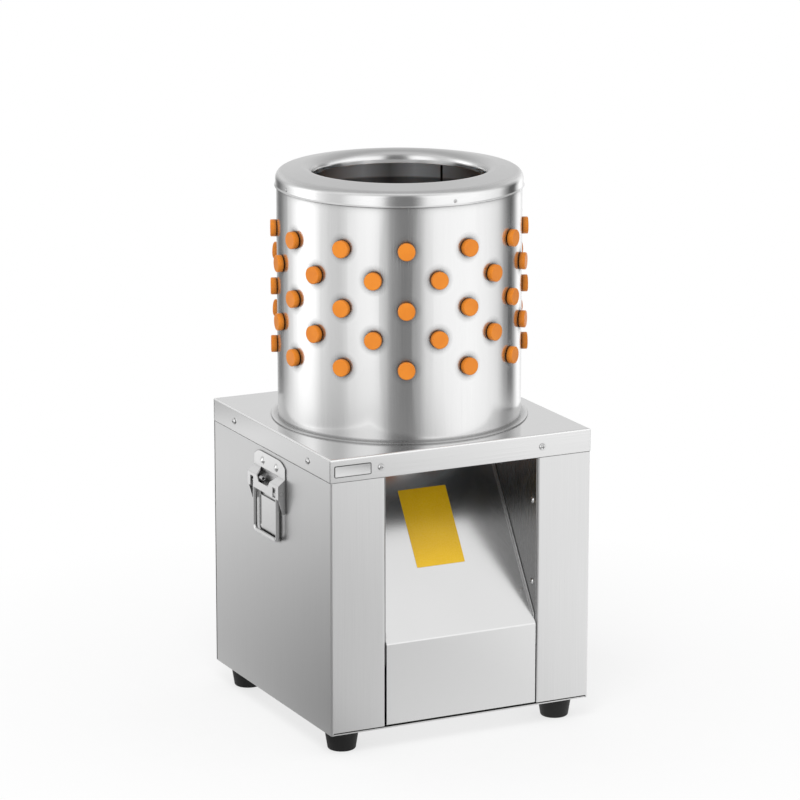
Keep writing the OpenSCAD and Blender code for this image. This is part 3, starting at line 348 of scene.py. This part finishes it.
def painted_reflections_within(tree):
    mask = falling(tree, from_axis(tree), *within_wall)
    across = rising(tree, distance_along(tree, across_drum), -reflection_half, reflection_half)
    up = distance_along(tree, UP)
    # Painted reflections: soft upright streaks from a ramp across the drum, dimmed to a band of painted
    # shadow under the mouth.
    light = combine(tree, "MULTIPLY", grey_ramp(tree, across, reflection_stops),
                    spread(tree, up, shadow_band_share, 1.0, *shadow_band_top))
    plain = combine(tree, "MAXIMUM", falling(tree, up, *shadow_band_bottom),
                    falling(tree, distance_along(tree, to_back_wall), *back_wall_from))
    return mask, blend_colours(tree, combine(tree, "MAXIMUM", light, plain), reflection_and_shadow_dark, inside_and_reflection_tint)


print("drum from", round(drum_low.z / MM, 1), "to", round(drum_high.z / MM, 1), "mm")

# %% [markdown]
# The rim's crown and roll
#
# The rim was spun from a ring of sheet. The spinning tool left its shoulder and its lip polished,
# while the flat crown and the roll into the mouth stay duller and get a darker tint, which is
# painted shade. The crown is told by its tilt, and the roll by its tilt and its distance from the
# axis.

# %% Second look of the rim
crown_tilt = (0.55, 0.95)
roll_tilt = (0.30, 0.60)
roll_outside = (121.0 * MM, 124.0 * MM)
crown_painted_shade = grey(0.62)


def crown_and_roll(tree):
    up = upward(tree)
    roll = combine(tree, "MULTIPLY", falling(tree, from_axis(tree), *roll_outside),
                   rising(tree, up, *roll_tilt))
    # The crown and roll take a darker tint: painted shade.
    return combine(tree, "MAXIMUM", rising(tree, up, *crown_tilt), roll), crown_painted_shade


print("roll within", round(roll_outside[0] / MM, 1), "mm of the axis")

# %% [markdown]
# One grain for each folded part
#
# The panels and the drum were brushed upright, the cap and the pan from side to side, the chute
# down its fall, and the rim was spun, so its scratches run round it. The roughness says how far
# each was polished, from the handles, which are nearly mirrors, to the pan, which nobody sees.

# %% Steels
ALONG_X = (9.0, 1400.0, 1400.0)
ALONG_Y = (1400.0, 9.0, 1400.0)
ALONG_Z = (1400.0, 1400.0, 9.0)
ROUND_Z = (60.0, 60.0, 1200.0)
EVEN = (400.0, 400.0, 400.0)

# In each row, corner says how far the painted shade in creases reaches, and shade how dark it gets.
steel_looks = {
    "panel_steel": dict(tint=grey(0.70), roughness=0.30, grain=ALONG_Z, swing=0.03, edge=1.0 * MM),
    "cap_steel": dict(tint=grey(0.70), roughness=0.12, grain=ALONG_X, swing=0.03, edge=1.5 * MM,
                      corner=3.0 * MM, shade=0.35, second_look=fold_highlight_and_underside_shade),
    "pan_steel": dict(tint=grey(0.66), roughness=0.34, grain=ALONG_X),
    "chute_steel": dict(tint=grey(0.76), roughness=0.22, grain=ALONG_Y, swing=0.04, edge=1.0 * MM,
                        corner=3.0 * MM, shade=0.5),
    "drum_steel": dict(tint=grey(0.78), roughness=0.19, grain=ALONG_Z, corner=10.0 * MM, shade=0.05,
                       shut=0.55, clear=0.92, shade_lifted=above_flange, second_look=painted_reflections_within),
    "plate_steel": dict(tint=(0.70, 0.70, 0.71), roughness=0.28, grain=ALONG_X),
    "handle_steel": dict(tint=grey(0.82), roughness=0.08, grain=EVEN, swing=0.03, edge=0.7 * MM,
                         corner=7.0 * MM, shade=0.12),
    "machined_steel": dict(tint=(0.52, 0.52, 0.53), roughness=0.30, grain=ROUND_Z),
    "fastener_steel": dict(tint=grey(0.84), roughness=0.10, grain=EVEN, edge=0.3 * MM, corner=4.5 * MM,
                           shade=0.05),
    "capacitor_shell": dict(tint=(0.72, 0.72, 0.73), roughness=0.32, grain=ROUND_Z),
    "rim_steel": dict(tint=grey(0.80), roughness=0.14, grain=ROUND_Z, swing=0.03, edge=1.0 * MM,
                      second_look=crown_and_roll),
    # The cheeks' dark tint is painted shade.
    "cheek_shaded_steel": dict(tint=grey(0.34), roughness=0.26, grain=ALONG_Z, edge=1.0 * MM, corner=3.0 * MM,
                        shade=0.5),
}
steels = {name: sheet_steel(name, **look) for name, look in steel_looks.items()}
print("steels", len(steels))

# %% [markdown]
# Rubber, paint and plastic
#
# The fingers are soft natural rubber: a saturated orange with a dull skin, slightly blotched where
# the mould was dusted. The feet are black rubber, the motor is painted, and the switch is moulded
# with a fine spark-eroded grain. None of them is a metal, so only colour, roughness and a small
# bump change. The sides of a rubber head darken towards the drum: ambient occlusion paints shade
# into every crease of these finishes.

# %% Dull finish
blotch_scale = (45.0, 45.0, 45.0)
skin_detail = 4.0
skin_swing = 0.06
skin_depth = 0.1 * MM
dull_shade = 0.15
dull_shut, dull_clear = 0.45, 0.92


def dull_finish(name, tint, darker, roughness, grain, bump, specular=0.5, edge=0.5 * MM, corner=3.0 * MM):
    material, tree, shader = start_material(name)
    skin = noise(tree, (grain, grain, grain), skin_detail)
    blotched = blend_colours(tree, spread(tree, noise(tree, blotch_scale), 0.0, 1.0), darker, tint)
    # Painted shade: the colour darkens where ambient occlusion finds a crease, as on a rubber head's sides
    # near the drum.
    open_share = openness(tree, corner, dull_shut, dull_clear)
    feed(tree, shader.inputs["Base Color"],
         blend_colours(tree, open_share, darkened(tint, dull_shade), blotched))
    feed(tree, shader.inputs["Roughness"], spread(tree, skin, roughness - skin_swing, roughness + skin_swing))
    feed(tree, shader.inputs["Normal"], bumped(tree, skin, bump, skin_depth, edge))
    feed(tree, shader.inputs["Specular IOR Level"], specular)
    return material


print("dull finish with a skin", skin_depth / MM, "mm deep")

# %% [markdown]
# One skin for each soft or painted part
#
# Each row gives the two colours that the blotches swing between, how dull the skin is, how fine
# its grain and how strong its bump. Cast iron has the coarsest skin, and the buttons the smoothest.

# %% Rubbers, paints and plastics
CAST = 260.0
FINE = 900.0
ERODED = 1500.0

dull_looks = {
    "finger_rubber": dict(tint=(0.82, 0.26, 0.018), darker=(0.74, 0.215, 0.012), roughness=0.42, grain=FINE,
                          bump=0.15, specular=0.4, edge=1.2 * MM, corner=6.0 * MM),
    "foot_rubber": dict(tint=grey(0.018), darker=grey(0.010), roughness=0.55, grain=FINE, bump=0.25,
                        specular=0.25),
    "belt_rubber": dict(tint=(0.020, 0.020, 0.021), darker=grey(0.012), roughness=0.65, grain=FINE,
                        bump=0.30),
    "bush_rubber": dict(tint=grey(0.020), darker=grey(0.012), roughness=0.50, grain=FINE, bump=0.20),
    "motor_paint": dict(tint=(0.11, 0.13, 0.15), darker=(0.09, 0.11, 0.13), roughness=0.40, grain=FINE,
                        bump=0.12),
    "drive_paint": dict(tint=(0.13, 0.14, 0.15), darker=(0.11, 0.12, 0.13), roughness=0.45, grain=FINE,
                        bump=0.12),
    "bearing_iron": dict(tint=(0.05, 0.09, 0.13), darker=(0.035, 0.07, 0.10), roughness=0.50, grain=CAST,
                         bump=0.45),
    "pulley_iron": dict(tint=grey(0.07), darker=grey(0.05), roughness=0.45, grain=CAST, bump=0.35),
    "switch_plastic": dict(tint=(0.018, 0.018, 0.019), darker=grey(0.014), roughness=0.50, grain=ERODED,
                           bump=0.3),
    "start_green": dict(tint=(0.02, 0.22, 0.05), darker=(0.015, 0.19, 0.04), roughness=0.28, grain=FINE,
                        bump=0.04),
    "stop_red": dict(tint=(0.42, 0.016, 0.014), darker=(0.37, 0.013, 0.012), roughness=0.28, grain=FINE,
                     bump=0.04),
}
dulls = {name: dull_finish(name, **look) for name, look in dull_looks.items()}
print("dull finishes", len(dulls))

# %% [markdown]
# Dressing the carried-over nodes
#
# The imported record names one slot for each node, so the finishes are handed out by slot. The rim
# shares the drum's slot but was spun, not rolled, so it gets the finish whose grain runs round it.
# The cheeks share the chute's slot and get a darker sheet, brushed upright: painted shade.

# %% Hand out the finishes
finish_of_slot = {**steels, **dulls}
own_finish = {"rim": "rim_steel", "chute_cheek_left": "cheek_shaded_steel", "chute_cheek_right": "cheek_shaded_steel"}
for part in frame["record"]["subparts"]:
    mesh = frame["nodes"][part["node"]].data
    mesh.materials.clear()
    mesh.materials.append(finish_of_slot[own_finish.get(part["node"], part["material_slot"])])

# %% [markdown]
# Modelling by hand
#
# The next helpers do what a modeller does at the keyboard: deselect everything, add a primitive,
# pick faces or edges in edit mode, apply a modifier, and at the end apply the place, so that the
# finished object sits at the origin with its place in its mesh.

# %% Object helpers
def name_piece(piece, name):
    piece.name = name
    piece.data.name = name


def add_primitive(operator, name, **options):
    bpy.ops.object.select_all(action="DESELECT")
    operator(**options)
    piece = bpy.context.object
    name_piece(piece, name)
    return piece


def select_only(piece):
    bpy.ops.object.select_all(action="DESELECT")
    piece.select_set(True)
    bpy.context.view_layer.objects.active = piece


def apply_place(piece):
    select_only(piece)
    bpy.ops.object.transform_apply(location=True, rotation=True, scale=True)


def apply_modifier(piece, kind, **settings):
    modifier = piece.modifiers.new(kind.lower(), kind)
    for key, value in settings.items():
        setattr(modifier, key, value)
    select_only(piece)
    bpy.ops.object.modifier_apply(modifier=modifier.name)


def size_mm(piece):
    return [round(v / MM, 1) for v in piece.dimensions]


print("helpers for objects: name_piece, add_primitive, select_only, apply_place, apply_modifier, size_mm")

# %% [markdown]
# Working in edit mode
#
# Faces and edges are picked by a rule, such as their direction, and never by their number, because
# a number changes as soon as the mesh does. Selection is written in object mode and used in edit
# mode, which is why the picking helper goes through both.

# %% Edit helpers
def to_edit():
    bpy.ops.object.mode_set(mode="EDIT")


def to_object():
    bpy.ops.object.mode_set(mode="OBJECT")


def edit_all(piece):
    select_only(piece)
    to_edit()
    bpy.ops.mesh.select_all(action="SELECT")


def pick(piece, mode, wanted):
    to_edit()
    bpy.ops.mesh.select_mode(type=mode)
    bpy.ops.mesh.select_all(action="DESELECT")
    to_object()
    for element in piece.data.edges if mode == "EDGE" else piece.data.polygons:
        element.select = wanted(element)
    to_edit()


def edge_vector(piece, edge):
    first, second = (piece.data.vertices[i].co for i in edge.vertices)
    return second - first


print("helpers for edit mode: to_edit, to_object, edit_all, pick, edge_vector")

# %% [markdown]
# The blank plate on the cap's skirt
#
# A small metal plate sits at the left of the front skirt. It is left blank. It starts as a cube,
# its corners are rounded with a bevel, and its face is inset and pushed in, which leaves the thin
# raised border of a pressed plate. The border gets a darker, blackened finish.

# %% Blank plate
cap_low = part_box("top_cap")[0]
plate_from_side, plate_from_below = 5.4 * MM, 6.0 * MM
plate_wide, plate_thick, plate_tall = 48.2 * MM, 0.6 * MM, 14.1 * MM
plate_corner, plate_corner_steps = 1.6 * MM, 5
plate_border = 0.9 * MM
plate_sunk = 0.25 * MM
plate_edge = 0.2 * MM
plate_smooth = math.radians(40.0)
facing_front = -0.9

plate_place = (cap_low.x + plate_from_side + plate_wide / 2, cap_low.y - plate_thick / 2,
               cap_low.z + plate_from_below + plate_tall / 2)
plate = add_primitive(bpy.ops.mesh.primitive_cube_add, "blank_plate", size=1.0,
                      scale=(plate_wide, plate_thick, plate_tall), location=plate_place)
apply_place(plate)
pick(plate, "EDGE", lambda edge: abs(edge_vector(plate, edge).y) > plate_thick / 2)
bpy.ops.mesh.bevel(offset=plate_corner, segments=plate_corner_steps)
pick(plate, "FACE", lambda face: face.normal.y < facing_front)
bpy.ops.mesh.inset(thickness=plate_border)
bpy.ops.transform.translate(value=(0.0, plate_sunk, 0.0))
to_object()
plate_looks = {
    "plate_border": dict(tint=grey(0.10), roughness=0.35, grain=ALONG_X, edge=plate_edge),
    "plate_field": dict(tint=grey(0.66), roughness=0.30, grain=ALONG_X, edge=plate_edge),
}
for name, look in plate_looks.items():
    plate.data.materials.append(sheet_steel(name, **look))
field = [face for face in plate.data.polygons if face.select]
for face in field:
    face.material_index = 1
bpy.ops.object.shade_smooth_by_angle(angle=plate_smooth)
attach(plate, "cabinet")
print("plate", size_mm(plate), "field faces", len(field))

# %% [markdown]
# The blank label on the slope
#
# A yellow vinyl label lies on the chute. It carries nothing. A plane is added in its place and
# turned to the slope. A plane takes no scale when it is added, so it is sized afterwards, and then
# all is applied. A vertex bevel rounds its corners, and Solidify gives it the thickness of film.

# %% Blank label
slope = math.radians(57.0)
sheet_half = 0.6 * MM
fold = Vector((0.0, cap_low.y + sheet_half, 133.0 * MM))
label_wide, label_long, label_thick = 65.0 * MM, 100.0 * MM, 0.2 * MM
label_middle = Vector((-3.6, 0.0, 0.0)) * MM
label_along = 139.5 * MM
label_corner, label_corner_steps = 1.2 * MM, 4

along = Vector((0.0, math.cos(slope), math.sin(slope)))
outward = Vector((0.0, -math.sin(slope), math.cos(slope)))
label_place = fold + along * label_along + outward * sheet_half + label_middle
label = add_primitive(bpy.ops.mesh.primitive_plane_add, "blank_label", size=1.0, location=label_place,
                      rotation=(slope, 0.0, 0.0))
label.scale = (label_wide, label_long, 1.0)
apply_place(label)
edit_all(label)
bpy.ops.mesh.bevel(offset=label_corner, segments=label_corner_steps, affect="VERTICES")
to_object()
apply_modifier(label, "SOLIDIFY", thickness=label_thick, offset=1.0)
vinyl = dull_finish("label_vinyl", tint=(0.86, 0.53, 0.010), darker=(0.82, 0.49, 0.008), roughness=0.28,
                    grain=FINE, bump=0.05, edge=0.1 * MM)
label.data.materials.append(vinyl)
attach(label, "cabinet")
print("label", size_mm(label))

# %% [markdown]
# The weld seam in the drum
#
# The drum is rolled from one sheet and welded along one upright line, which shows inside the mouth
# as a dark stripe. A long thin bar is enough, but its long edges are bevelled so that it swells out
# of the wall like a ground weld instead of standing on it like a rib.

# %% Weld seam
seam_angle = math.radians(43.0)
seam_thick, seam_wide = 0.5 * MM, 3.0 * MM
seam_low, seam_high = drum_low.z + 2.0 * MM, drum_high.z - 2.0 * MM
seam_sunk = 0.1 * MM
seam_reach = drum_outside - drum_wall + seam_sunk - seam_thick / 2
seam_round, seam_round_steps = 0.22 * MM, 3
seam_smooth = math.radians(60.0)

seam_place = (seam_reach * math.cos(seam_angle), seam_reach * math.sin(seam_angle),
              (seam_low + seam_high) / 2)
seam = add_primitive(bpy.ops.mesh.primitive_cube_add, "weld_seam", size=1.0,
                     scale=(seam_thick, seam_wide, seam_high - seam_low), location=seam_place,
                     rotation=(0.0, 0.0, seam_angle))
apply_place(seam)
pick(seam, "EDGE", lambda edge: abs(edge_vector(seam, edge).z) > seam_wide)
bpy.ops.mesh.bevel(offset=seam_round, segments=seam_round_steps)
to_object()
bpy.ops.object.shade_smooth_by_angle(angle=seam_smooth)
seam.data.materials.append(sheet_steel("weld_steel", tint=grey(0.012), roughness=0.5, grain=ALONG_Z))
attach(seam, "cabinet")
print("seam", size_mm(seam))

# %% [markdown]
# The left bail's spring
#
# In the notch of each handle bracket a small wound spring presses on the bail. A circle is the
# section of its wire. It is added standing on edge beside the spring's axis, and the Screw modifier
# winds it along that axis. The wire's two open ends are then filled.

# %% Left spring
bail_low, bail_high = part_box("bail_left")
spring_wire = 0.55 * MM
spring_radius = 2.1 * MM
spring_turns = 6
spring_pitch = 1.35 * MM
turn_steps = 24
wire_sides = 10
spring_place = Vector(((bail_low.x + bail_high.x) / 2 + 0.8 * MM, 9.0 * MM, cap_low.z - 36.7 * MM))

spring = add_primitive(bpy.ops.mesh.primitive_circle_add, "spring_left", vertices=wire_sides,
                       radius=spring_wire, location=(spring_radius, 0.0, 0.0),
                       rotation=(math.pi / 2, 0.0, 0.0))
apply_place(spring)
apply_modifier(spring, "SCREW", axis="Z", angle=math.tau * spring_turns,
               screw_offset=spring_pitch * spring_turns, steps=turn_steps * spring_turns,
               render_steps=turn_steps * spring_turns, use_smooth_shade=True, use_normal_calculate=True)
edit_all(spring)
bpy.ops.mesh.fill_holes(sides=wire_sides + 2)
bpy.ops.mesh.normals_make_consistent(inside=False)
to_object()
spring.rotation_euler = (-math.pi / 2, 0.0, 0.0)
spring.location = spring_place
apply_place(spring)
spring.data.materials.append(steels["handle_steel"])
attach(spring, "cabinet")
print("left spring", size_mm(spring))

# %% [markdown]
# The right bail's spring
#
# The right handle is the left one's mirror image, and so is its spring. A copy is scaled by minus
# one from side to side. That turns its faces inside out, so its normals are made consistent again.

# %% Right spring
select_only(spring)
bpy.ops.object.duplicate(linked=False)
spring_right = bpy.context.object
name_piece(spring_right, "spring_right")
spring_right.scale = (-1.0, 1.0, 1.0)
apply_place(spring_right)
edit_all(spring_right)
bpy.ops.mesh.normals_make_consistent(inside=False)
to_object()
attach(spring_right, "cabinet")
print("right spring", size_mm(spring_right))

# %% [markdown]
# The studio
#
# A polished drum shows its surroundings, so the surroundings are the picture. Catalogue pictures of
# steel use a bright room with a few dark gaps: each upright streak on the drum is one soft box, or
# one gap between two. The world here is such a ring of light, drawn as a ramp round the compass in
# degrees from the direction of the viewer. Over it is a ceiling that comes lower at the back and is
# greyer over the viewer.

# %% Ring and ceiling
ring_stops = (
    (-180, 0.88), (-170, 0.80), (-160, 0.32), (-150, 0.14), (-140, 0.30), (-128, 0.70), (-116, 1.20),
    (-102, 1.60), (-88, 1.52), (-80, 1.05), (-68, 0.78), (-56, 0.74), (-46, 1.06), (-34, 1.24), (-23, 1.26),
    (-16, 1.06), (-10, 0.42), (-3, 0.24), (13, 0.22), (18, 0.46), (26, 1.08), (36, 1.19), (72, 1.24),
    (90, 1.12), (106, 0.96), (115, 0.42), (124, 0.10), (134, 0.10), (141, 0.80), (149, 1.40), (164, 0.95),
    (180, 0.88),
)
ceiling_stops = (
    (-1.0, 0.88), (-0.75, 0.80), (-0.4, 0.62), (-0.1, 0.56), (0.12, 0.66), (0.30, 1.00), (0.40, 0.94),
    (0.52, 0.58), (1.0, 0.58),
)
ceiling_lean = -0.45
ceiling_height = (0.25, 0.62)
print("ring of light with", len(ring_stops), "stops, ceiling with", len(ceiling_stops))

# %% [markdown]
# The room's three answers
#
# The world can answer each kind of ray in its own way. Glossy rays see the ring and the ceiling, so
# that the steel has something to mirror. The camera sees plain white. All other rays see one even
# light, under which rubber, paint and plastic keep the colours that they were given.

# %% World
even_light = grey(0.80)
plain_white = grey(1.0)

world = bpy.data.worlds.new("studio")
bpy.context.scene.world = world
world.use_nodes = True
sky = world.node_tree
compass = add_node(sky, "TexCoord").outputs["Generated"]
turn = (0.0, 0.0, math.radians(90.0 - camera_turn))
turned = add_node(sky, "Mapping", {"Vector": compass, "Rotation": turn}).outputs["Vector"]
around = add_node(sky, "TexGradient", {"Vector": turned}, gradient_type="RADIAL").outputs["Fac"]
sky_axes = add_node(sky, "SeparateXYZ", {"Vector": turned}).outputs
ring = grey_ramp(sky, around, [((degrees + 180.0) / 360.0, light) for degrees, light in ring_stops])
ahead = rising(sky, sky_axes["X"], -1.0, 1.0)
ceiling = grey_ramp(sky, ahead, [((along_x + 1.0) / 2.0, light) for along_x, light in ceiling_stops])
leaning = combine(sky, "ADD", sky_axes["Z"], combine(sky, "MULTIPLY", sky_axes["X"], ceiling_lean))
room = blend_colours(sky, rising(sky, leaning, *ceiling_height), ring, ceiling)

sky_rays = add_node(sky, "LightPath").outputs
lit = blend_colours(sky, sky_rays["Is Glossy Ray"], even_light, room)
seen = blend_colours(sky, sky_rays["Is Camera Ray"], lit, plain_white)
feed(sky, sky.nodes["Background"].inputs["Color"], seen)
print("world", world.name, "with", len(sky.nodes), "nodes")

# %% [markdown]
# The floor's paper
#
# The floor is a pale disc that melts into the white background and keeps the soft shadow under the
# machine. The cabinet's walls mirror it, so for their rays it has the slow change of a lit sweep:
# paler to the right and to the back, greyer beside the left wall. The sweep is held between two
# limits, so that no wall turns black or white.

# %% Floor paper
mottle_scale = (30.0, 30.0, 30.0)
paper_dark, paper_light = grey(0.87), grey(0.90)
paper_roughness, paper_specular = 0.9, 0.1
sweep_stops = (
    (0.10, 0.04), (0.25, 0.10), (0.38, 0.37), (0.48, 0.94), (0.58, 1.04), (0.72, 1.44), (0.87, 1.70),
)
sweep_to_back = 0.44
sweep_behind = 0.30
sweep_darkest, sweep_lightest = 0.30, 1.12

floor_paper, paper_tree, paper_shader = start_material("floor_paper")
mottle = noise(paper_tree, mottle_scale)
feed(paper_tree, paper_shader.inputs["Base Color"],
     blend_colours(paper_tree, mottle, paper_dark, paper_light))
feed(paper_tree, paper_shader.inputs["Roughness"], paper_roughness)
feed(paper_tree, paper_shader.inputs["Specular IOR Level"], paper_specular)

floor_place = object_place(paper_tree)
floor_axes = add_node(paper_tree, "SeparateXYZ", {"Vector": floor_place}).outputs
sideways = grey_ramp(paper_tree, rising(paper_tree, floor_axes["X"], -1.0, 1.0), sweep_stops)
to_back = combine(paper_tree, "MULTIPLY", floor_axes["Y"], sweep_to_back)
behind = combine(paper_tree, "MULTIPLY", combine(paper_tree, "MAXIMUM", floor_axes["Y"], 0.0), sweep_behind)
swept = combine(paper_tree, "ADD", sideways, combine(paper_tree, "ADD", to_back, behind))
held = combine(paper_tree, "MINIMUM", combine(paper_tree, "MAXIMUM", swept, sweep_darkest), sweep_lightest)
mirrored = add_node(paper_tree, "Emission", {"Color": held}).outputs["Emission"]
print("sweep held from", sweep_darkest, "to", sweep_lightest)

# %% [markdown]
# The floor itself
#
# One disc has to do three jobs, so its shader asks what kind of ray has come. The camera sees paper
# that fades to white a little way out, glossy rays see the sweep, and the rest see plain paper. The
# disc's far edge is clear for the last two, so that no edge shows on the steel.

# %% Floor
floor_radius = 1.9
floor_sides = 96
fade_to_white = (0.32, 0.80)
fade_to_clear = (1.50, 1.70)
paper_white_share = 0.70


def mix_shaders(share, first, second):
    return add_node(paper_tree, "MixShader", {"Fac": share, 1: first, 2: second}).outputs["Shader"]


floor = add_primitive(bpy.ops.mesh.primitive_circle_add, "floor", vertices=floor_sides, radius=floor_radius,
                      fill_type="NGON")
floor_reach = add_node(paper_tree, "VectorMath", {0: floor_place}, operation="LENGTH").outputs["Value"]
far_off = rising(paper_tree, floor_reach, *fade_to_white)
at_edge = rising(paper_tree, floor_reach, *fade_to_clear)
paper = paper_shader.outputs["BSDF"]
white = add_node(paper_tree, "Emission").outputs["Emission"]
clear = add_node(paper_tree, "BsdfTransparent").outputs["BSDF"]
floor_rays = add_node(paper_tree, "LightPath").outputs
for_camera = mix_shaders(far_off, mix_shaders(paper_white_share, paper, white), white)
for_gloss = mix_shaders(at_edge, mirrored, clear)
for_light = mix_shaders(at_edge, paper, clear)
bounced = mix_shaders(floor_rays["Is Glossy Ray"], for_light, for_gloss)
feed(paper_tree, paper_tree.nodes["Material Output"].inputs["Surface"],
     mix_shaders(floor_rays["Is Camera Ray"], bounced, for_camera))
floor.data.materials.append(floor_paper)
print("floor radius", floor_radius)

# %% [markdown]
# The key lamp
#
# One big lamp above the front left gives the shadow its direction. It is a wide disc, so the
# shadow's edge stays soft, and glossy rays don't see it, because the steel already mirrors the room.

# %% Key lamp
lamp_size = 1.6
lamp_power = 40.0
lamp_place = Vector((-1.2, -1.8, 2.8))
lamp_aim = Vector((0.0, 0.0, 0.3))

lamp_data = bpy.data.lights.new("key", "AREA")
lamp_data.shape = "DISK"
lamp_data.size = lamp_size
lamp_data.energy = lamp_power
lamp = bpy.data.objects.new("key", lamp_data)
lamp.location = lamp_place
lamp.rotation_euler = (lamp_aim - lamp_place).to_track_quat("-Z", "Y").to_euler()
lamp.visible_glossy = False
bpy.context.scene.collection.objects.link(lamp)
print("lamp", lamp_data.energy, "W")
